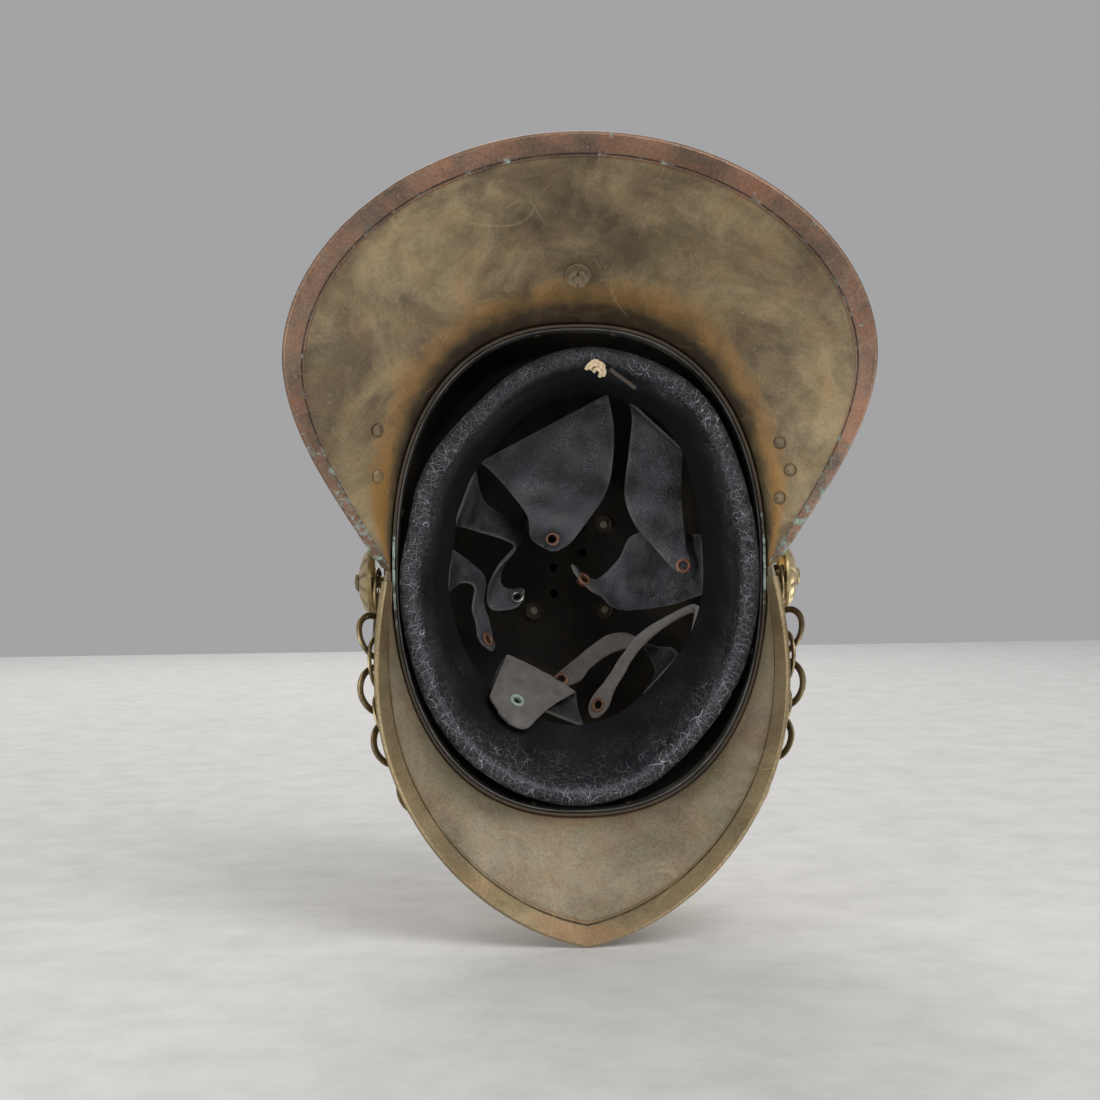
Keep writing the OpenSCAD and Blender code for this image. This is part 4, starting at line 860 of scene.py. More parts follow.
def strip_section():
    """The strip's section: place inwards from the edge, height over the under face, both grooved."""
    h = STRIP_OVER
    face = [(8.0, 0.04), (8.0, h - 0.2), (7.75, h), (7.2, h), (6.95, h - GROOVE_DEEP),
            (6.55, h - GROOVE_DEEP), (6.3, h), (4.5, h + STRIP_LIP), (2.2, h + STRIP_LIP), (0.7, h)]
    mid, half = SHEET_T / 2, SHEET_T / 2 + h
    bead = [(-1.0 * math.cos(a), mid + half * math.sin(a)) for a in np.radians([64, 38, 12, -12, -38, -64])]
    lining = [(0.1, -0.04), (0.1, SHEET_T + 0.04)]
    return np.array([(w, SHEET_T + t) for w, t in face] + bead + [(w, -t) for w, t in face][::-1] + lining)


def strip_piece(name, rear, mat, slot):
    section = strip_section()
    steps, ear = REAR_STRIP if rear else FRONT_STRIP
    p = np.linspace(ear, -ear, steps + 1)
    span = peak_span(rear, p)
    shrink = np.minimum(1.0, 0.55 * span / BIND_W)
    edge, n_edge = peak_pt(rear, p, 1.0), peak_normal(rear, p, 1.0)
    out = unit(edge - peak_pt(rear, p, 0.97))
    rows = []
    for w, h in section:
        s = 1 - max(w, 0.0) * shrink / span
        base, n = (peak_pt(rear, p, s), peak_normal(rear, p, s)) if w > 0 else (edge, n_edge)
        rows.append(base + n * h + out * max(-w, 0.0))
    grid = np.array(rows).transpose(1, 0, 2)
    wobble = waves(grid, 30, 21)[..., None] * 0.1 * np.clip(np.abs(section[:, 1]) - 0.9, 0, 1)[None, :, None]
    grid = grid + wobble * n_edge[:, None]
    count = len(section)
    last = (len(grid) - 1) * count
    faces = grid_faces(len(grid), count, close_n=True)
    faces += [tuple(range(count)), tuple(last + j for j in range(count))]
    w = np.broadcast_to(section[:, 0], grid.shape[:2])
    groove = bell(w, GROOVE_AT, GROOVE_W)
    ends = smooth_step(np.abs(p)[:, None] + 0 * w, 0.55, 0.97)
    warmth = (0.3 if rear else 0.1 + 0.42 * bell(p[:, None], 0, 0.1)) + 0 * w
    new_piece(name + "_strip", grid.reshape(-1, 3), faces, slot, mat, replaces=(name,),
              warmth=warmth - 0.5 * groove, rub=0.62 * bell(w, -0.7, 0.7), grime=0.95 * groove,
              crust=(0.27 if rear else 0.12) + 0.15 * groove + 0.2 * ends)


peak_piece("rear_peak", True)
peak_piece("front_peak", False)
strip_piece("rear_peak_binding", True, REAR_EDGE_COPPER, "copper_binding")
strip_piece("front_peak_binding", False, FRONT_EDGE_BRASS, "brass_binding")


# Comb: two embossed walls over the seam, with a worn crest
COMB_START, COMB_END, COMB_STEPS = 50.0, 176.0, 28
TAIL_STEPS, TAIL_END_S = 6, 0.55
COMB_LOW, NOSE_SHARE, CREST_SHARE, FLAT_SHARE = 2.0, 0.13, 0.3, 0.92
LEVELS = ((0, 1), (0.02, 1), (0.06, 1), (0.25, 0.94), (0.5, 0.76), (0.78, 0.5), (0.93, 0.3), (1, 0))
WALL_STEPS, WALL_ROWS, FOOT_ROWS, WALL_LEAST = 220, 34, 8, 4.5
LOBE_W, LOBE_SLANT = 13.0, 1.15
LOBE_OUT, LINE_OUT, LINE_LEVELS, LINE_W = 0.95, 0.7, (0.1, 0.83), 0.025
WING_L, WING_INSET = 38, 4.5
CREST_R, CREST_FLAT, CREST_SINK = 1.25, 0.85, 0.9


def seam_pt(a):
    r = np.radians(a)
    y = np.where(a > 90, 1.0, -1.0) * (RIM_B + FIT_GAP) * np.abs(np.cos(r)) ** (2 / CROWN_POW)
    return xyz(0 * a, y, (SKULL_H + FIT_GAP) * np.sin(r) ** (2 / CROWN_POW))


def comb_base():
    a = COMB_START + (COMB_END - COMB_START) * np.arange(COMB_STEPS + 1) / COMB_STEPS
    s = TAIL_END_S * np.arange(TAIL_STEPS + 1) / TAIL_STEPS
    tail = peak_pt(True, 0 * s, s) + peak_normal(True, 0 * s, s) * (SHEET_T + FIT_GAP)
    return np.concatenate([seam_pt(a), tail])


def comb_fall(t):
    return 1 - np.clip((t - CREST_SHARE) / (FLAT_SHARE - CREST_SHARE), 0, 1) ** 1.25


def comb_rise(t):
    turn = np.radians(90 * np.minimum(t, NOSE_SHARE) / NOSE_SHARE)
    return np.where(t > NOSE_SHARE, 1.0, np.sin(turn) ** 0.7)


def comb_line():
    """The comb's foot line with its up directions, height, wall width and foot width along it."""
    line = comb_base()
    fine = spline(line, np.linspace(0, len(line) - 1, WALL_STEPS + 1))
    fine[:, 0] = 0
    along = lengths_along(fine)
    t = along / along[-1]
    ahead = unit(np.gradient(fine, axis=0))
    up = np.stack([0 * t, -ahead[:, 2], ahead[:, 1]], axis=1)
    rise, fall = comb_rise(t), comb_fall(t)
    height = COMB_LOW + (COMB_H - COMB_LOW) * rise * fall
    wall = WALL_LEAST + (COMB_HALF_W - WALL_LEAST) * (0.45 * rise + 0.55) * fall ** 0.8
    wing = np.where(fine[:, 2] > RIM_A, (SCREW_X - WING_INSET) * bell(fine[:, 1], 0, WING_L), 0)
    return fine, up, height, along, wall, wall + COMB_FOOT + wing


COMB_FINE, COMB_UP, COMB_HEIGHT, COMB_ALONG, COMB_WALL, COMB_FEET = comb_line()


def comb_levels():
    """Shares of the comb's height, with the share of the wall's width at each."""
    levels = np.linspace(0, 1, WALL_ROWS + 1) ** 0.9
    table = np.array(LEVELS, float)
    widths = np.interp(levels, table[:, 0], table[:, 1])
    kernel = np.array([1, 2, 3, 2, 1]) / 9
    smooth = np.convolve(np.pad(widths, 2, "edge"), kernel, "valid")
    return levels, np.where((levels > 0.04) & (levels < 0.97), smooth, widths)


def comb_place(rows, side):
    """Sets rows of (half width, height) along the comb's line, down on the skull or on the peak."""
    fine, up, along = COMB_FINE, COMB_UP, COMB_ALONG
    on_skull = along <= along[COMB_STEPS * WALL_STEPS // (COMB_STEPS + TAIL_STEPS + 1)]
    grid = []
    for x, h in rows:
        p = fine + np.stack([x, 0 * x, 0 * x], axis=1)
        drop = np.where(on_skull, reach(p + up, -up, FIT_GAP, 40) - 1, x * x / 300)
        grid.append(p + up * (h - drop)[:, None])
    out = np.array(grid).transpose(1, 0, 2)
    out[..., 0] = (out[..., 0] + SEAM_GAP * 0.3) * side
    return out


def comb_lobes(along, level):
    return np.abs(np.cos(math.pi * (along / LOBE_W + LOBE_SLANT * level)))


def comb_half(name, side):
    along, height, wall, foot = COMB_ALONG, COMB_HEIGHT, COMB_WALL, COMB_FEET
    rows_out, rows_in, marks = [], [], []
    for j in range(FOOT_ROWS + 1):
        x = foot + (wall + 0.4 - foot) * j / FOOT_ROWS
        rows_out.append((x, 0 * x + SHEET_T))
        rows_in.append((x, 0 * x))
        marks.append(-1 + j / FOOT_ROWS)
    for level, width in zip(*(k[1:] for k in comb_levels())):
        x = wall * width
        h = level * (height - SHEET_T)
        window = smooth_step(level, 0.16, 0.24) * (1 - smooth_step(level, 0.66, 0.76))
        relief = LOBE_OUT * comb_lobes(along, level) ** 0.7 * window
        relief = relief + LINE_OUT * sum(bell(level, at, LINE_W) for at in LINE_LEVELS)
        relief = relief * smooth_step(height, 8, 20)
        thin = min(1.0, level / 0.06) * min(1.0, (1 - level) / 0.12)
        rows_out.append((x + relief * min(1, width * 2), h + SHEET_T))
        rows_in.append((np.maximum(x - SHEET_T * thin, 0), h))
        marks.append(level)
    outer, inner = comb_place(rows_out, side), comb_place(rows_in, side)
    verts, faces = sheet_parts(outer, inner)
    level = np.broadcast_to(np.array(marks), outer.shape[:2])
    tall = (height / COMB_H)[:, None] + 0 * level
    lobes = comb_lobes(along[:, None], level)
    obj = new_piece(name + "_wall", verts, faces, "patina_brass", SHELL, INNER_BRASS, replaces=(name,),
                    warmth=0.2 + 0.35 * (1 - lobes) ** 2 * tall,
                    rub=0.75 * smooth_step(level, 0.85, 1.0) + 0.4 * lobes ** 3 * tall,
                    crust=0.32 * bell(level, 0.0, 0.06))
    two_faced(obj, WALL_STEPS * (len(rows_out) - 1))


comb_half("comb_left", 1)
comb_half("comb_right", -1)


def crest_wire():
    """A low rounded wire along the comb's crest, worn bright."""
    tall = COMB_HEIGHT > 5
    up = COMB_UP[tall]
    line = (COMB_FINE + COMB_UP * COMB_HEIGHT[:, None])[tall] - up * CREST_SINK
    verts, faces = tube_parts(line[::2], CREST_R, 10, flat=CREST_FLAT, ups=up[::2])
    new_piece("comb_crest_wire", verts, faces, "patina_brass", SHELL, warmth=0.09, rub=0.9, crust=0.09)


crest_wire()


# Front plate: a sunburst that follows the skull, with an oval and crossed axes
PLATE_Z, PLATE_CLEAR, PLATE_RISE = 56.0, 0.6, 2.4
RAY_DEPTH, FLUTE_H, OVAL_RISE = 0.05, 0.8, 2.5
PLATE_STEPS, PLATE_ROWS, OVAL_STEPS, OVAL_ROWS = 384, 30, 96, 14


def ray_ridge(a):
    return 0.5 + 0.5 * np.cos(PLATE_RAYS * a)


def plate_off(x, z):
    """How far the plate's back stands off the skull."""
    r2 = (x / PLATE_W * 2) ** 2 + ((z - PLATE_Z) / PLATE_H * 2) ** 2
    a = np.arctan2(z - PLATE_Z, x)
    flute = FLUTE_H * np.clip(r2 * 2 - 0.6, 0, 1) * ray_ridge(a) ** 1.6
    return PLATE_CLEAR + PLATE_RISE * np.maximum(0, 1 - r2) + flute


def disc_piece(name, slot, mat, rows_fn, steps, rings, marks_fn, replaced):
    """A sheet disc before the skull; rows_fn and marks_fn give its points and marks by radius and angle."""
    r = np.linspace(0, 1, rings + 1)[:, None]
    a = round_angles(steps)[None, :]
    verts, faces = round_sheet_parts(rows_fn(r, a, SHEET_T), rows_fn(r, a, 0.0), (rings,))
    warmth, rub, crust = (v + 0 * r + 0 * a for v in marks_fn(r, a))
    new_piece(name, verts, faces, slot, mat, replaces=(replaced,), weld=True,
              warmth=warmth, rub=rub, crust=crust)


def plate_rows(r, a, h):
    k = r * (1 - RAY_DEPTH + RAY_DEPTH * np.cos(PLATE_RAYS * a))
    x = k * PLATE_W / 2 * np.cos(a)
    z = PLATE_Z + k * PLATE_H / 2 * np.sin(a)
    return xyz(x, front_y(x, z) - plate_off(x, z) - h, z)


def oval_top(x, z):
    r2 = (x / OVAL_W * 2) ** 2 + ((z - PLATE_Z) / OVAL_H * 2) ** 2
    return plate_off(x, z) + SHEET_T + FIT_GAP + OVAL_RISE * np.maximum(0, 1 - r2)


def oval_rows(r, a, h):
    x = r * OVAL_W / 2 * np.cos(a)
    z = PLATE_Z + r * OVAL_H / 2 * np.sin(a)
    return xyz(x, front_y(x, z) - oval_top(x, z) - h, z)


def plate_marks(r, a):
    ridge = ray_ridge(a)
    out = smooth_step(r, 0.45, 0.65)
    warmth = 0.1 + 0.35 * (1 - ridge) * out
    rub = 0.15 + 0.65 * ridge ** 3 * out
    return warmth, rub, 0.1 + 0.25 * (1 - ridge) ** 2 * out


disc_piece("front_plate_burst", "brass_plate", SHELL, plate_rows, PLATE_STEPS, PLATE_ROWS, plate_marks,
           "front_plate")
disc_piece("plate_oval_boss", "gilded_trim", GILT, oval_rows, OVAL_STEPS, OVAL_ROWS,
           lambda r, a: (0.1, 0.2 + 0.5 * (r > 0.9), 0.1), "plate_oval")


def on_oval(x, v, h):
    """A point at x and height v from the oval's middle, h in front of its face."""
    x, v = np.asarray(x, float), np.asarray(v, float)
    z = PLATE_Z + v
    return xyz(x, front_y(x, z) - oval_top(x, z) - SHEET_T - FIT_GAP - h, z)


BEAD_R, BEADS, BEAD_SHARE, BEAD_STEPS = 1.05, 30, 0.93, 120
PLATE_OUT = [0.0, -1, 0]


def oval_rim():
    a = round_angles(BEAD_STEPS)
    ring = on_oval(BEAD_SHARE * OVAL_W / 2 * np.cos(a), BEAD_SHARE * OVAL_H / 2 * np.sin(a), 0.1)
    radius = BEAD_R * (1 + 0.16 * np.cos(BEADS * a))
    verts, faces = tube_parts(ring, radius, 8, close=True, ups=np.tile(PLATE_OUT, (BEAD_STEPS, 1)))
    new_piece("plate_oval_rim", verts, faces, "gilded_trim", GILT, warmth=0, rub=0.7, crust=0.12)


oval_rim()


# A handle's foot and its way to its top from the oval's middle; the blade's root, reach and edge curve
AXE_FOOT, AXE_WAY, AXE_STEPS = (-14.5, -16.5), (27.5, 32.5), 26
BLADE_AT, BLADE_REACH, BLADE_CURVE, BLADE_COLS, BLADE_ROWS = (9.6, 12.2), 9.0, 1.6, 14, 10
SLANT_X, SLANT_V = 0.646, 0.763


def axe_parts(side):
    """A handle along a slant and a curved blade near its top."""
    t = np.linspace(0, 1, AXE_STEPS)
    x, v = (foot + way * t for foot, way in zip(AXE_FOOT, AXE_WAY))
    handle = tube_parts(on_oval(x, v, 0.75), 0.95 + 0.25 * (t > 0.96) + 0.2 * (t < 0.05), 8,
                        ups=np.tile(PLATE_OUT, (AXE_STEPS, 1)), flat=0.75)
    a = np.linspace(0, 1, BLADE_COLS + 1)[:, None]
    b = np.linspace(-1, 1, BLADE_ROWS + 1)[None, :]
    width = 2.0 + 3.6 * a ** 1.4
    out = BLADE_REACH * a + BLADE_CURVE * (1 - b * b) * a
    x = BLADE_AT[0] - SLANT_V * out + SLANT_X * width * b
    v = BLADE_AT[1] + SLANT_X * out + SLANT_V * width * b
    thick = 1.35 * (1 - 0.75 * a ** 1.5) * (1 - 0.25 * b ** 4)
    blade = sheet_parts(on_oval(x, v, thick), on_oval(x, v, 0.02 + 0 * thick))
    verts, faces = join_parts([handle, blade])
    verts[:, 0] *= side
    return verts, faces


AXES = join_parts([axe_parts(1), axe_parts(-1)])
new_piece("crossed_axes_relief", *AXES, "gilded_trim", TRIM, replaces=("crossed_axes",),
          warmth=0.1, rub=0.55, crust=0.12)


# Side bosses: rosettes with petals and dished discs
BOSS_X = float(wall_out(BOSS_Y, RIM_B, RIM_A, BOSS_Z))
CHAIN_STAND, ROSETTE_STAND, ROSETTE_T, PETALS = 8.0, 11.4, 1.2, 12
ROSETTE_STEPS, ROSETTE_ROWS = 144, 26
DISC_D, DISC_STAND, DISC_STEPS = 23.0, 5.2, 96


def boss_stance(side):
    """The point where a boss stands on the skull, and the way out from there."""
    return np.array([side * BOSS_X, BOSS_Y, BOSS_Z]), np.array([float(side), 0, 0])


def rosette_piece(name, side):
    at, out = boss_stance(side)
    across, up = np.array([0.0, 1, 0]), np.array([0.0, 0, 1])
    radius, hub = ROSETTE_D / 2, STEM_D / 2 + 0.1
    r = np.linspace(hub, radius, ROSETTE_ROWS + 1)[:, None]
    a = round_angles(ROSETTE_STEPS)[None, :]
    share = (r - hub) / (radius - hub)
    places = [hub, 0.3 * radius, 0.48 * radius, 0.74 * radius, radius - 2.2, radius]
    dome = ROSETTE_RISE * np.interp(r, places, [1.0, 1.0, 0.9, 0.6, 0.28, 0.1])
    petal = np.abs(np.cos(PETALS / 2 * a)) ** 0.5
    leaf = smooth_step(share, 0.12, 0.25) * (1 - smooth_step(share, 0.84, 0.92))
    rim = bell(share, 0.96, 0.03)
    front = dome - 0.75 * leaf * (1 - petal) + 0.35 * rim
    back = np.minimum(front - ROSETTE_T * 0.8, dome - ROSETTE_T)
    back = np.where(share > 0.93, np.minimum(back, 0.0), back)
    front, back = (at + out * (ROSETTE_STAND + h)[..., None] + across * (r * np.cos(a))[..., None]
                   + up * (r * np.sin(a))[..., None] for h in (front, back))
    verts, faces = round_sheet_parts(front, back, (0, ROSETTE_ROWS))
    dirt = (1 - petal) * leaf
    new_piece(name + "_flower", verts, faces, "gilded_trim", GILT, replaces=(name,), warmth=0.3 * dirt,
              rub=0.25 + 0.5 * petal * leaf + 0.4 * rim, crust=0.28 * dirt + 0.08)


def boss_disc_piece(name, side):
    at, out = boss_stance(side)
    hub, edge = STEM_D / 2 + 0.15, DISC_D / 2
    profile = [(hub, FIT_GAP), (hub + 2.5, FIT_GAP + 0.02), (edge - 2.6, DISC_STAND - 2.9),
               (edge - 0.4, DISC_STAND - 1.8), (edge, DISC_STAND - 1.3), (edge, DISC_STAND - 0.6),
               (edge - 0.4, DISC_STAND - 0.15), (edge - 1.2, DISC_STAND), (edge - 1.9, DISC_STAND - 0.3),
               (edge - 3.2, DISC_STAND - 1.3), (hub + 3.2, 3.0), (hub + 1.6, 2.6), (hub, 2.6)]
    verts, faces = lathe_parts(profile, DISC_STEPS, at, out, np.array([0.0, 1, 0]), closed=True)
    r = np.tile([p[0] for p in profile], DISC_STEPS)
    new_piece(name + "_dish", verts, faces, "chain_brass", CHAIN, replaces=(name,), warmth=0.2,
              rub=0.45 * (r > edge - 1.6), crust=0.2 * (r < hub + 3.3))


for _make, _what in ((rosette_piece, "_rosette"), (boss_disc_piece, "_boss_disc")):
    _make("left" + _what, 1)
    _make("right" + _what, -1)


# Chin chain: flat rings, each through its two neighbours, on the way that the part's source gives
RING_TILT, RING_COUNT, ARM_RINGS = 17.0, 31, 3
CHAIN_WAY = ((0.2, 0.55, 1.5), (0.28, 0.58, 2), (0.36, 0.6, 2.6), (0.46, 0.6, 2.6), (0.58, 0.6, 2.1),
             (0.7, 0.6, 1.4), (0.8, 0.6, 0.9), (0.9, 0.6, 0.7), (1, 0.6, 0.7))
CHAIN_LIFT = SHEET_T + RING_D / 2 * math.sin(math.radians(RING_TILT)) + WIRE_D / 2 + FIT_GAP
HOOK_GAP, HOOK_TURN, HOOK_BALL = 62.0, 40.0, 3.0
RING_W, RING_T, END_T = 3.1, 1.45, 1.8
RING_STEPS, RING_SIDES, RING_SQUARE = 88, 14, 3.2
LAST_RING, RIGHT_FROM = RING_COUNT - 1, RING_COUNT - 1 - ARM_RINGS
# Share of the tilt that the rings at and next to both ends have
END_LEANS = {0: 0.3, 1: 1.4}


def brim_up(p, s):
    e = 0.02
    ahead = peak_pt(False, p - e, s) - peak_pt(False, min(p + e, 1), s)
    n = unit(np.cross(peak_pt(False, p, 1) - peak_pt(False, p, 0.15), ahead))
    return -n if n[2] < 0 else n


def chain_stations():
    pts, ups = [np.array([BOSS_X + CHAIN_STAND, BOSS_Y, BOSS_Z])], [np.array([1.0, 0, 0])]
    for share, s, lift in CHAIN_WAY:
        n = brim_up(1 - share, s)
        pts.append(peak_pt(False, 1 - share, s) + n * (CHAIN_LIFT + lift))
        ups.append(n)
    mirror = np.array([-1.0, 1, 1])
    pts += [p * mirror for p in pts[-2::-1]]
    ups += [n * mirror for n in ups[-2::-1]]
    return np.array(pts), np.array(ups)


def ring_frames():
    """Centre, way ahead, side and axis of each ring."""
    pts, ups = chain_stations()
    last = len(pts) - 1
    fine = np.linspace(0, last, 6 * last + 1)
    line = spline(pts, fine)
    walk = lengths_along(line)
    end = RING_D / 2 - WIRE_D - STEM_D / 2 - 0.25
    frames = []
    for k, d in enumerate(np.linspace(end, walk[-1] - end, RING_COUNT)):
        t = np.interp(d, walk, fine)
        ahead = unit(spline(pts, min(t + 0.3, last)) - spline(pts, max(t - 0.3, 0)))
        up = ups[0] if k == 0 else ups[-1] if k == LAST_RING else spline(ups, t)
        up = unit(up - ahead * (up @ ahead))
        near_end = min(k, LAST_RING - k)
        share = END_LEANS.get(near_end, 1.0)
        lean = math.radians((1 if k % 2 == 0 else -1) * RING_TILT * share)
        side = np.cross(up, ahead)
        frames.append((spline(pts, t), ahead, side * math.cos(lean) + up * math.sin(lean),
                       up * math.cos(lean) - side * math.sin(lean)))
    return frames


RINGS = ring_frames()


def ring_parts(k, wide, thick, low=0.0, high=360.0):
    """A flat band bent to a ring, worn thin and rounded, with a faint unevenness of its own."""
    centre, ahead, side, axis = RINGS[k]
    rng = random.Random(500 + k)
    closed = high - low >= 360
    a = np.radians(np.linspace(low, high, RING_STEPS + (0 if closed else 1), endpoint=not closed))
    b = round_angles(RING_SIDES)
    power = 2 / RING_SQUARE
    section = np.stack([np.sign(np.cos(b)) * np.abs(np.cos(b)) ** power * wide / 2,
                        np.sign(np.sin(b)) * np.abs(np.sin(b)) ** power * thick / 2], axis=1)
    mid = RING_D / 2 - wide / 2 - 0.05
    wobble = 0.05 * np.sin(3 * a + rng.uniform(0, 6)) + 0.03 * np.sin(7 * a + rng.uniform(0, 6))
    r = mid + section[None, :, 0] + wobble[:, None] - 0.05
    h = section[None, :, 1] + 0 * a[:, None]
    along, across = r * np.cos(a)[:, None], r * np.sin(a)[:, None]
    grid = centre + ahead * along[..., None] + side * across[..., None] + axis * h[..., None]
    faces = grid_faces(len(a), RING_SIDES, close_m=closed, close_n=True)
    if not closed:
        last = (len(a) - 1) * RING_SIDES
        faces += [tuple(range(RING_SIDES)), tuple(last + j for j in range(RING_SIDES))]
    verts = grid.reshape(-1, 3)
    edge = np.broadcast_to(np.abs(np.cos(b)) ** 4, r.shape).ravel()
    return verts, faces, edge


def ball_parts(at, d):
    profile = [(d / 2 * math.sin(a), -d / 2 * math.cos(a)) for a in np.linspace(0.02, math.pi - 0.02, 14)]
    out, across = frame_at((0, 0, 1))
    return lathe_parts(profile, 24, at, out, across)


def chain_piece(name, body, replaced, ks):
    parts, edges = [], []
    for k in ks:
        wide, thick = (WIRE_D, END_T) if k in (0, LAST_RING) else (RING_W, RING_T)
        start = HOOK_TURN + HOOK_GAP / 2 if k == LAST_RING else 0.0
        verts, faces, edge = ring_parts(k, wide, thick, start, start + 360 - (HOOK_GAP if start else 0))
        parts.append((verts, faces))
        edges.append(edge)
    if LAST_RING in ks:
        centre, ahead, side = RINGS[LAST_RING][:3]
        for a in np.radians([HOOK_TURN + HOOK_GAP / 2, HOOK_TURN - HOOK_GAP / 2]):
            r = RING_D / 2 - WIRE_D / 2
            parts.append(ball_parts(centre + ahead * r * math.cos(a) + side * r * math.sin(a), HOOK_BALL))
            edges.append(np.full(len(parts[-1][0]), 0.6))
    verts, faces = join_parts(parts)
    edge = np.concatenate(edges)
    new_piece(name, verts, faces, "chain_brass", CHAIN, body=body, replaces=(replaced,), warmth=0.15,
              rub=0.62 * edge, crust=0.16 * (1 - edge))


chain_piece("chain_end_ring", "chain_left_arm", "chain_eye", [0])
chain_piece("chain_left_links", "chain_left_arm", "chain_left_rings", range(1, ARM_RINGS + 1))
chain_piece("chain_front_links", "chain_front", "chain_front_rings", range(ARM_RINGS + 1, RIGHT_FROM))
chain_piece("chain_right_links", "chain_right_arm", "chain_right_rings", range(RIGHT_FROM, LAST_RING))
chain_piece("chain_open_hook", "chain_right_arm", "chain_hook", [LAST_RING])


# Liner: hoop, padded roll with its band, eight tongues with eyelets, tie and lace
HOOP_T, HOOP_LOW, HOOP_HIGH, HOOP_STEPS = 0.8, 3.0, 14.0, 220
ROLL_A, ROLL_B = RIM_A - SHEET_T - 2 * FIT_GAP - HOOP_T, ROLL_L / 2
ROLL_MID_Y, ROLL_Z = -2.0, 2.0
# Dents in the roll's outline: angle, width in degrees, depth in millimetres
ROLL_DENTS = ((62, 26, 7), (16, 12, 2.4), (126, 16, -4), (-124, 20, 2.4), (-50, 22, -2))


def hoop_piece():
    u = round_angles(HOOP_STEPS)[:, None]
    face = -SHEET_T - FIT_GAP
    section = np.array([(HOOP_LOW, -HOOP_T * 0.8), (HOOP_LOW + 0.3, -HOOP_T), (HOOP_HIGH - 0.3, -HOOP_T),
                        (HOOP_HIGH, -HOOP_T * 0.8), (HOOP_HIGH, 0), (HOOP_LOW, 0)])
    z, off = section[None, :, 0], section[None, :, 1]
    x, y = rim_unit(u)
    share = wall_share(z, face + off)
    grid = xyz((RIM_A + face + off) * share * x, (RIM_B + face + off) * share * y, z + 0 * u)
    faces = grid_faces(len(u), len(section), close_m=True, close_n=True)
    new_piece("liner_hoop_band", grid.reshape(-1, 3), faces, "hoop_tin", TIN, replaces=("liner_hoop",))


hoop_piece()


def round_gap(u, at):
    """Degrees from at to u, from -180 to 180."""
    return (u - at + 540) % 360 - 180


def roll_r(u):
    a = np.radians(u)
    dents = sum(deep * bell(round_gap(u, at), 0, wide) for at, wide, deep in ROLL_DENTS)
    return 1 / np.sqrt((np.cos(a) / ROLL_A) ** 2 + (np.sin(a) / ROLL_B) ** 2) - dents


def band_lean(u):
    s = np.sin(np.radians(u))
    return 12 + 12 * np.maximum(0, -s) ** 2 - 4 * np.maximum(0, s) ** 2


def band_in(u, z):
    return ROLL_D + band_lean(u) * (np.maximum(0, z - ROLL_Z) / (BAND_H - ROLL_Z)) ** 1.3


def liner_pt(u, d, z):
    r = roll_r(u) - d
    a = np.radians(u)
    return xyz(r * np.cos(a), ROLL_MID_Y + r * np.sin(a), z + 0 * r)


def creases(u, seed, count, width, depth):
    """Narrow valleys across the roll at uneven places round it."""
    rng = np.random.default_rng(seed)
    total = np.zeros_like(u)
    places = rng.uniform(0, 360, count)
    depths = rng.uniform(0.3, 1, count)
    widths = rng.uniform(0.5, 1.5, count)
    for at, k, w in zip(places, depths, widths):
        total += k * depth * bell(round_gap(u, at), 0, width * w)
    return total


# Rows of the band: height, and the share of the stitching's pucker there; then heights on its outer side
BAND_ROWS = ((4.2, 0.8), (7, 1.0), (11, 0.7), (16, 0.45), (22, 0.3), (29, 0.2), (37, 0.1), (43, 0),
             (BAND_H - 0.3, 0))
BAND_BACK = (BAND_H, BAND_H - 0.5, 37, 26, 16, 11)
NOTCH_AT, NOTCH_W, NOTCH_DEEP, SEAM_Z = 158, 1.6, 0.8, 4.2
BAND_COLS, STITCHES = 720, 130


def roll_pt(u, r, a):
    """A point at distance r from the roll's middle line, at the angle a round it."""
    return liner_pt(u, ROLL_D / 2 - r * math.cos(a), ROLL_Z + r * math.sin(a))


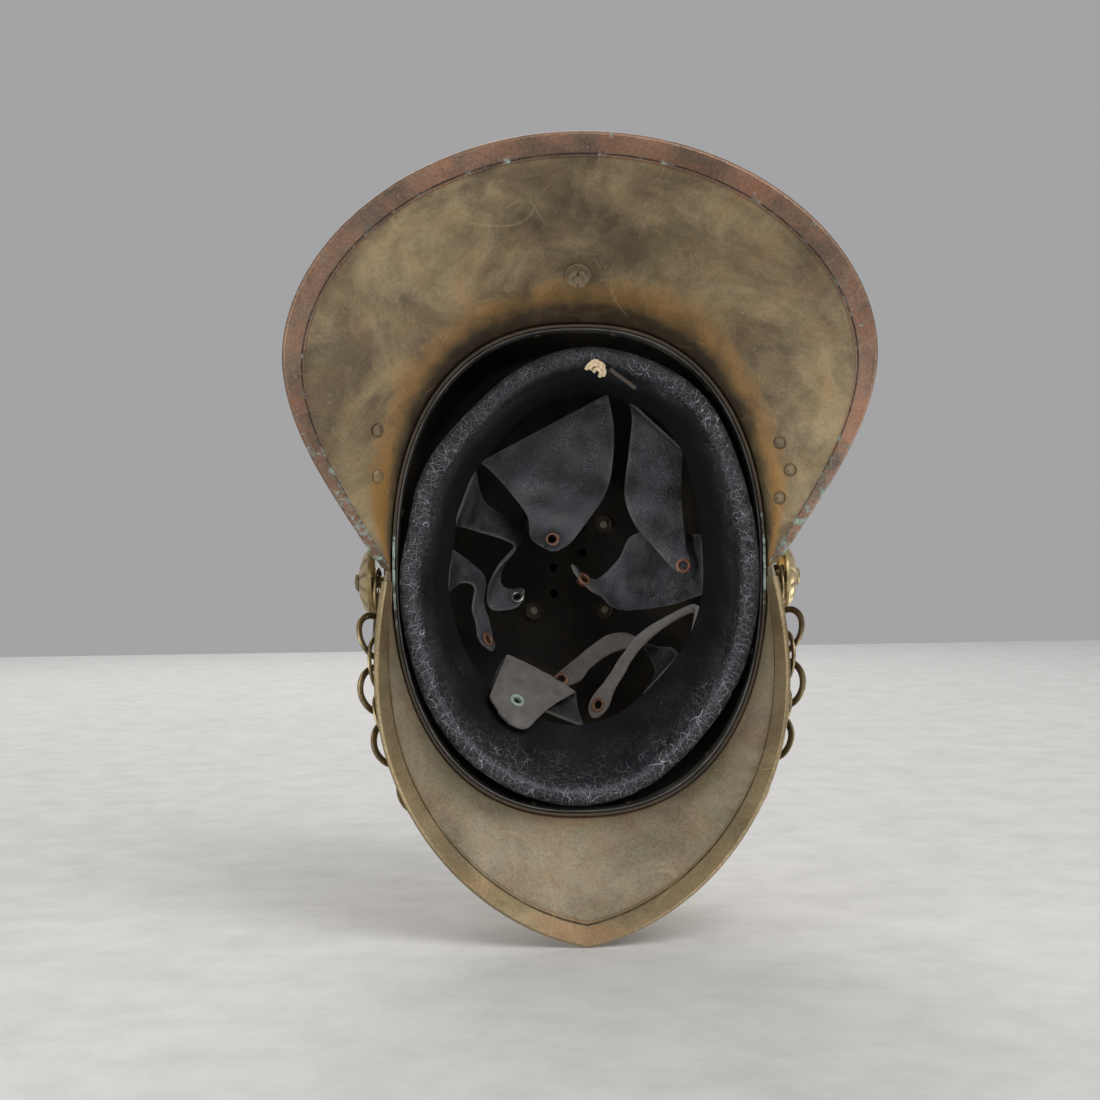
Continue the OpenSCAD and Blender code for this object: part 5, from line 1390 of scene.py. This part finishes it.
def sweatband_piece():
    u = np.linspace(0, 360, BAND_COLS, endpoint=False)
    radius = ROLL_D / 2
    rows, kinds = [], []
    swell = (0.35 * waves(liner_pt(u, 0 * u, 0.0), 33, 5) - creases(u, 9, 34, 1.3, 0.55)
             - creases(u, 10, 90, 0.7, 0.2))
    notch = bell(u, NOTCH_AT, NOTCH_W)
    # The roll's free side, the band's inner face, its back, and the roll's hidden side
    for a in np.radians(np.arange(35, -181, -12)):
        belly = np.clip(math.cos(a + math.pi / 2), 0, 1)
        r = radius + (swell - NOTCH_DEEP * notch) * (0.25 + 0.75 * belly)
        rows.append(roll_pt(u, r, a))
        kinds.append(1.0)
    pucker = 0.22 * np.sin(np.radians(u) * STITCHES) + 0.3 * waves(liner_pt(u, 0 * u, 0.0), 14, 6)
    for z, keep in BAND_ROWS:
        seam = 0.5 * math.exp(-((z - SEAM_Z) / 1.2) ** 2)
        rows.append(liner_pt(u, band_in(u, z) - seam + pucker * keep * 0.8, z))
        kinds.append(0.95 - 0.017 * z)
    for z in BAND_BACK:
        rows.append(liner_pt(u, band_in(u, z) - (LEATHER_T - 0.3), z))
        kinds.append(0.1)
    for a in np.radians([110, 85, 60]):
        rows.append(roll_pt(u, radius, a))
        kinds.append(0.8)
    grid = np.array(rows).transpose(1, 0, 2)
    kind = np.broadcast_to(np.array(kinds), grid.shape[:2])
    worn = 0.42 + 0.12 * waves(grid, 60, 8) + 0.12 * bell(u[:, None], 270, 70)
    low_side = bell(round_gap(u[:, None], 275), 0, 75)
    # Painted highlight: a pale line along the roll's ridge on its low side, put into the scuff mark
    ridge = 0.34 * low_side * bell(np.arange(len(rows)), 12.2, 0.8)[None, :]
    faces = grid_faces(BAND_COLS, len(rows), close_m=True, close_n=True)
    # The deep mark is painted shade inside the band, from 5 mm up, less on the low side
    obj = new_piece("sweatband_roll", grid.reshape(-1, 3), faces, "black_leather", LEATHER,
                    replaces=("sweatband",), smooth=60, crackle=kind * worn,
                    deep=smooth_step(grid[..., 2], 5, 34) * (0.92 - 0.5 * low_side),
                    scuff=np.clip(ridge + 0.03 * kind + 0.05 * waves(grid, 25, 14), 0, 1))


sweatband_piece()

# Each tongue, clockwise from the rear as seen from below: its root's two angles round the band in degrees,
# how deep its root sits, and pairs of edge points from the root to the tip
TONGUE_ROOTS = ((50, 101), (47, 22), (12, -8), (-52, -92), (-118, -140), (-164, -152), (164, 190),
                (108, 132))
ROOT_SINK = (0, 0.9, 0.8, 0.8, 0.9, 1, 1, 0.8)
TONGUE_EDGES = (
    (((41, 49, 52), (-20, 66, 50)), ((32, 39, 55), (-17, 40, 57)), ((23, 26, 58), (-7, 24, 60)),
     ((22, 16, 60), (0, 15, 61)), ((16, 9, 60), (4, 9, 61))),
    (((44, 34, 74), (50, 20, 66)), ((26, 20, 84), (30, 12, 72)), ((35, 3, 80), (39, 0, 70)),
     ((37, -4, 81), (44, -12, 75)), ((35, -9, 81), (41, -20, 75)), ((29, -10, 82), (29, -19, 76)),
     ((25, -8, 82), (26, -14, 77))),
    (((52, 4, 68), (56, -6, 54)), ((45, -4, 70), (50, -8, 55)), ((46, -16, 69), (51, -18, 54)),
     ((43, -25, 68), (49, -27, 55)), ((41, -34, 67), (48, -34, 56)), ((39, -40, 64), (44, -39, 58))),
    (((41, -54, 58), (-1, -71, 58)), ((38.5, -48.5, 66), (-0.5, -67.5, 66)),
     ((35, -43.5, 64.5), (0.3, -62.6, 64.5)), ((35.3, -44.2, 58), (2.5, -62, 57.5)),
     ((40, -54, 43), (15, -68, 42)), ((44, -63, 29), (28.5, -79.5, 25))),
    (((-40, -51, 68), (-48, -40, 64)), ((-30, -35, 84), (-34, -40, 74)), ((-18, -34, 84), (-20, -42, 74)),
     ((-8, -40, 80), (-8, -50, 74)), ((0, -46, 76), (-3, -56, 71)), ((8, -52, 73), (5, -59, 69)),
     ((13, -56, 71), (12, -60, 69))),
    (((-58, -19, 62), (-58, -22, 52)), ((-44, -26, 66), (-44, -29, 55)), ((-31, -34, 67), (-32, -39, 57)),
     ((-23, -45, 66), (-24, -51, 58)), ((-15, -56, 64), (-19, -60, 57)), ((-7, -66, 62), (-16, -68, 56)),
     ((-6, -73, 60), (-10, -75, 57))),
    (((-57, 17, 62), (-60, -15, 64)), ((-44, 19, 66), (-48, -19, 70)), ((-29, 16, 66), (-32, -21, 72)),
     ((-22, 4, 66), (-20, -20, 70)), ((-12, -5, 64), (-13, -13, 62)), ((-4, -3, 61), (-6, -9, 58)),
     ((3, 2, 59), (2, -1, 57))),
    (((-29, 74, 51), (-54, 56, 51)), ((-27, 56, 52), (-53, 48, 51)), ((-25, 36, 53), (-53, 32, 51)),
     ((-30, 21, 53), (-54, 19, 51)), ((-40, 9, 53), (-55, 10, 51)), ((-49, -1, 52), (-57, 4, 51)),
     ((-54, -3, 51), (-58, 0, 51))))
# Which face of each tongue is suede: 1 the face its normal looks to, -1 the other
SUEDE_SIDE = (-1, 1, 1, 1, 1, 1, -1, -1)
# How far each tongue cups across its width, in millimetres
TONGUE_CUP = (1.6, 1.2, 1.2, 1.5, 1.2, 1.0, 2.2, 1.8)
TONGUE_RIPPLE = (1.9, 0.6, 0.6, 0.4, 0.6, 0.6, 1.3, 1.8)
SHEET_LEATHER = 1.5
TONGUE_COLS, TONGUE_STEPS, TIP_ROUND = 27, 14, 7.0
# Steps between edge points from a tongue's tip back to its eyelet, and how wide it stays flat there
EYELET_BACK, EYELET_BACK_ELSE, EYELET_FLAT_R = {0: 0.95, 3: 0.75}, 0.9, 5.5


def tongue_sides(i):
    u0, u1 = TONGUE_ROOTS[i]
    z = BAND_H + 0.4 + FIT_GAP + LEATHER_T / 2 - ROOT_SINK[i]
    root = [liner_pt(float(u), band_in(float(u), BAND_H) - LEATHER_T / 2, z) for u in (u0, u1)]
    edges = np.array(TONGUE_EDGES[i], float)
    return [np.concatenate([[root[k]], edges[:, k]]) for k in (0, 1)]


def tongue_normal(i, t):
    sides_i = tongue_sides(i)
    last = len(sides_i[0]) - 1
    a0, a1 = (spline(s, np.maximum(t - 0.15, 0)) for s in sides_i)
    b0, b1 = (spline(s, np.minimum(t + 0.15, last)) for s in sides_i)
    c0, c1 = (spline(s, t) for s in sides_i)
    return unit(np.cross(b0 + b1 - a0 - a1, c1 - c0))


def eyelet_place(i):
    sides_i = tongue_sides(i)
    t = len(TONGUE_EDGES[i]) - EYELET_BACK.get(i, EYELET_BACK_ELSE)
    at = (spline(sides_i[0], t) + spline(sides_i[1], t)) / 2
    n = tongue_normal(i, t)
    return at, -n if n[2] > 0 else n


def tongue_piece(i):
    left, right = tongue_sides(i)
    last = len(left) - 1
    rows, cols = TONGUE_STEPS * last + 1, TONGUE_COLS
    t = np.linspace(0, last, rows)
    c = np.linspace(0, 1, cols)
    a, b = spline(left, t), spline(right, t)
    n = tongue_normal(i, t)
    length = lengths_along((a + b) / 2)
    width = np.linalg.norm(b - a, axis=1)
    # The flat grid with its rounded tip, then cupped and rippled away from the root and the eyelet
    left_over = length[-1] - length
    round_d = min(width[-2] * 0.5, TIP_ROUND)
    narrow = np.sqrt(np.clip(1 - (1 - np.clip(left_over / round_d, 0, 1)) ** 2, 0.12, 1))
    spread = (c[None, :] - 0.5) * narrow[:, None]
    grid = ((a + b) / 2)[:, None] + (b - a)[:, None] * spread[..., None]
    free = smooth_step(t / last, 0.05, 0.5)[:, None]
    bow = TONGUE_CUP[i] * (1 - (2 * spread) ** 2)
    ripple = TONGUE_RIPPLE[i] * waves(grid, 26, 30 + i) + 0.2 * waves(grid, 9, 50 + i)
    near_hole = bell(np.linalg.norm(grid - eyelet_place(i)[0], axis=-1), 0, EYELET_FLAT_R)
    grid = grid + n[:, None] * ((bow * 0.6 + ripple) * free * (1 - near_hole))[..., None]
    side_off = np.minimum(c, 1 - c) * width[:, None]
    half = SHEET_LEATHER / 2 * (1 - np.clip(1 - side_off / 0.9, 0, 1) ** 2 * 0.55)[..., None]
    verts, faces = sheet_parts(grid + n[:, None] * half, grid - n[:, None] * half)
    worn = np.clip(0.26 * bell(side_off, 0, 1.4) + 0.2 * bell(left_over[:, None], 0, 3)
                   + 0.18 * waves(grid, 20, 70 + i), 0, 1)
    # Painted light and shade on folds, fading to painted shade towards the root
    fold = np.clip(0.42 + 0.6 * waves(grid, 24, 90 + i), 0, 1)
    fold = fold * (0.12 + 0.88 * smooth_step(t / last, 0.05, 0.6)[:, None])
    obj = new_piece(f"crown_tongue_{i + 1}_leather", verts, faces, "tongue_leather", GRAIN, SUEDE, smooth=50,
                    replaces=(f"crown_tongue_{i + 1}",), scuff=worn, fold=fold)
    count = (rows - 1) * (cols - 1)
    index = np.zeros(len(obj.data.polygons), np.int32)
    index[slice(0, count) if SUEDE_SIDE[i] > 0 else slice(count, 2 * count)] = 1
    index[2 * count:] = 1
    obj.data.polygons.foreach_set("material_index", index)
    at, out = eyelet_place(i)
    drill(obj, [(at, out, EYELET_D - 0.1, 5.0)])


for _i in range(8):
    tongue_piece(_i)


def eyelet_parts(i):
    at, out = eyelet_place(i)
    r, top = EYELET_D / 2, SHEET_LEATHER / 2 + 0.15
    profile = [(r - 0.45, -top - 0.1), (r - 0.45, top + 0.2), (r - 0.1, top + 0.55), (r + 0.5, top + 0.62),
               (r + 1.05, top + 0.4), (r + 1.2, top), (r + 0.1, top - 0.1), (r - 0.05, 0), (r + 0.05, -top),
               (r + 0.9, -top - 0.05), (r + 0.8, -top - 0.35), (r, -top - 0.45)]
    return lathe_parts(profile, 40, at, *frame_at(out), closed=True)


# Which finish each eyelet has: 0 copper, 1 steel, 2 crusted
EYELET_KIND = (0, 1, 0, 2, 0, 0, 0, 0)
CRUSTED_EYELETS = (3, 6)


def eyelets_piece():
    parts = [eyelet_parts(i) for i in range(8)]
    verts, faces = join_parts(parts)
    crust = [0.4 if i in CRUSTED_EYELETS else 0.15 for i in range(8)]
    crust = np.repeat(crust, [len(p[0]) for p in parts])
    obj = new_piece("tongue_eyelet_rings", verts, faces, "copper_eyelets", COPPER, STEEL, CRUSTED,
                    replaces=("tongue_eyelets",), warmth=crust * 0.5, rub=0.4, crust=crust)
    kinds = np.repeat(EYELET_KIND, [len(p[1]) for p in parts]).astype(np.int32)
    obj.data.polygons.foreach_set("material_index", kinds)


eyelets_piece()

KNOT_X, KNOT_Y = -9.0, 99.0
KNOT_Z = ROLL_Z - ROLL_D / 2 - TIE_D / 2 - 0.3
LACE_WAY = ((-15.1, 98), (-19, 95), (-23, 92), (-27, 89))
CORD_SIDES, CORD_STEPS = 18, 60


def rope_parts(path, radius, strands, pitch, flat=1.0):
    """A laid cord: its surface swells where each strand lies and the strands wind round it."""
    path = np.asarray(path, float)
    verts, faces = tube_parts(path, radius, CORD_SIDES, flat=flat)
    count = len(path) * CORD_SIDES
    body = verts[:count].reshape(len(path), CORD_SIDES, 3)
    a = 2 * math.pi * np.arange(CORD_SIDES) / CORD_SIDES
    turn = 2 * math.pi * lengths_along(path)[:, None] / pitch
    swell = 0.8 + 0.2 * np.abs(np.cos(0.5 * strands * (a[None, :] + turn))) ** 0.6
    verts[:count] = (path[:, None] + (body - path[:, None]) * swell[..., None]).reshape(-1, 3)
    return verts, faces


# Three cords of the tie, as points from its middle: over the leather's edge, round, and back into the hole
TIE_WAYS = (((4.8, -0.8, 1.0), (3.7, 1.0, 0.1), (0.8, 2.9, -0.5), (-2.3, 1.5, -0.3), (-3.6, 0.3, 0.8)),
            ((3.0, -0.8, 0.5), (2.0, 0.9, -0.6), (-0.6, 1.0, -1.0), (-2.9, -0.6, -0.8), (-3.6, -2.4, 0.0),
             (-3.0, -3.8, 1.0)),
            ((1.4, -1.8, 0.7), (0.2, -0.8, -0.5), (-1.3, -1.4, -0.7), (-1.8, -2.9, 0.0), (-1.4, -4.2, 1.0)))


def cord_line(way):
    return spline(way, np.linspace(0, len(way) - 1, CORD_STEPS))


def tie_piece():
    at = np.array([KNOT_X, KNOT_Y - ROLL_D / 2, KNOT_Z + 0.6])
    parts = [rope_parts(at + cord_line(way), TIE_D / 2 * 0.8, 3, 4.6) for way in TIE_WAYS]
    new_piece("liner_tie_knot", *join_parts(parts), "tie_cord", TAN_CORD, replaces=("liner_tie",), smooth=60)


def lace_piece():
    pts = np.array([(x, y - ROLL_D / 2, KNOT_Z) for x, y in LACE_WAY], float)
    rope = rope_parts(cord_line(pts), TIE_D / 2, 4, 3.6, flat=0.75)
    new_piece("liner_lace_braid", *rope, "lace", DARK_LACE, replaces=("liner_lace",), smooth=60)


tie_piece()
lace_piece()


# Kept nodes get their finish
KEPT_FINISH = {
    FASTENER: ("plate_studs", "boss_stems"),
    # the nuts, washers and rivets inside the skull take painted shade
    SHADED_DARK_FASTENER: ("comb_washers", "comb_nuts", "plate_nuts", "boss_nuts", "liner_rivets"),
    DULL_FASTENER: ("comb_screws", "comb_tail_screw", "comb_tail_washer", "comb_tail_nut"),
    REAR_PATINA: ("rear_peak_rivets",),
}
for _mat, _names in KEPT_FINISH.items():
    for _name in _names:
        paint(NODES[_name], _mat)


# Stage: a pale floor, and the pale table that the photo's helmet stands nose down on
def plane(name, corners):
    mesh = bpy.data.meshes.new(name)
    mesh.from_pydata(corners, [], [(0, 1, 2, 3)])
    obj = bpy.data.objects.new(name, mesh)
    bpy.context.scene.collection.objects.link(obj)
    return obj


def stage_paint(name, tone):
    """Seen by the camera on its upper face only, and never in the way of light."""
    f = Finish(name, Roughness=0.9, Specular_IOR_Level=0.1)
    cloud = f.ramp(f.noise(30, 8, 0.72), (0.34, 0.0), (0.6, 1.0))
    f.set(Base_Color=f.mix(cloud, shade(tone, 0.88), tone))
    behind = f.wire("ShaderNodeNewGeometry", {}, "Backfacing")
    seen = f.wire("ShaderNodeLightPath", {}, "Is Camera Ray") - behind
    clear = f.wire("ShaderNodeBsdfTransparent", {})
    mix = f.wire("ShaderNodeMixShader", {0: seen | 0.0, 1: clear, 2: Wire(f, f.bsdf.outputs[0])})
    f.tree.links.new(mix.socket, f.out.inputs[0])
    return f.mat


FLOOR_TONE = (0.62, 0.61, 0.59)
FLOOR_HALF = 4
TABLE_Y, TABLE_NEAR, TABLE_FAR, TABLE_SIDE = -(FRONT_EDGE + 1.4), -2000.0, 2616.0, 4000.0
FLOOR = [(x * FLOOR_HALF, y * FLOOR_HALF, 0) for x, y in ((-1, -1), (1, -1), (1, 1), (-1, 1))]
TABLE = [(x * TABLE_SIDE, TABLE_Y, z)
         for x, z in ((-1, TABLE_FAR), (1, TABLE_FAR), (1, TABLE_NEAR), (-1, TABLE_NEAR))]
paint(plane("floor", FLOOR), stage_paint("pale_floor", FLOOR_TONE))
paint(plane("table", [tuple(p) for p in to_row(np.array(TABLE))]), stage_paint("pale_table", FLOOR_TONE))

WORLD_LIGHT, WALL_SEEN = (0.42, 0.42, 0.43, 1), (0.37, 0.37, 0.378, 1)


def world():
    """A soft even light, and the grey that the camera sees behind the table."""
    w = bpy.data.worlds.new("studio")
    w.use_nodes = True
    bpy.context.scene.world = w
    tree = w.node_tree
    back = tree.nodes["Background"]
    path = tree.nodes.new("ShaderNodeLightPath")
    mix = tree.nodes.new("ShaderNodeMix")
    mix.data_type = "RGBA"
    tree.links.new(path.outputs["Is Camera Ray"], mix.inputs[0])
    mix.inputs[6].default_value = WORLD_LIGHT
    mix.inputs[7].default_value = WALL_SEEN
    tree.links.new(mix.outputs[2], back.inputs[0])
    back.inputs[1].default_value = 1.0


world()

# Soft lamps that look at the helmet's middle: name, place in metres, size in metres, power in watts
LAMPS = (("key", (-0.9, 1.5, -1.2), 1.6, 30), ("fill", (1.5, 0.0, -1.2), 1.6, 26),
         ("low", (-1.2, -0.9, -1.2), 1.6, 18), ("top", (0.4, 1.7, 2.3), 2.2, 40),
         ("side", (-2.2, -1.2, 1.0), 1.6, 18))
LAMP_TO = (0, 0, 0.1)


def area_light(name, at, size, power):
    light = bpy.data.lights.new(name, "AREA")
    light.shape, light.size, light.energy = "DISK", size, power
    obj = bpy.data.objects.new(name, light)
    obj.location = at
    obj.rotation_euler = (Vector(LAMP_TO) - Vector(at)).to_track_quat("-Z", "Y").to_euler()
    bpy.context.scene.collection.objects.link(obj)


for _lamp in LAMPS:
    area_light(*_lamp)

# Camera: looks straight into the opening, as the photo does
CAMERA_AT, CAMERA_TO, CAMERA_ROLL = (38.56, 9.58, -900.0), (13.72, 9.58, 0.0), -0.8
LENS, SENSOR_W, CLIP_NEAR = 63.3, 36.0, 0.05


def camera():
    at, to = (Vector(to_row(np.array(p))) for p in (CAMERA_AT, CAMERA_TO))
    ahead = (to - at).normalized()
    up = Vector(turn_row(np.array([0.0, 1, 0])))
    right = ahead.cross(up).normalized()
    up = right.cross(ahead)
    turn = Matrix((right, up, -ahead)).transposed() @ Matrix.Rotation(math.radians(CAMERA_ROLL), 3, "Z")
    cam = bpy.data.cameras.new("photo")
    cam.lens, cam.sensor_width, cam.clip_start = LENS, SENSOR_W, CLIP_NEAR
    obj = bpy.data.objects.new("photo", cam)
    obj.matrix_world = Matrix.Translation(at) @ turn.to_4x4()
    bpy.context.scene.collection.objects.link(obj)
    bpy.context.scene.camera = obj


camera()
bpy.context.scene.view_settings.view_transform = "Standard"
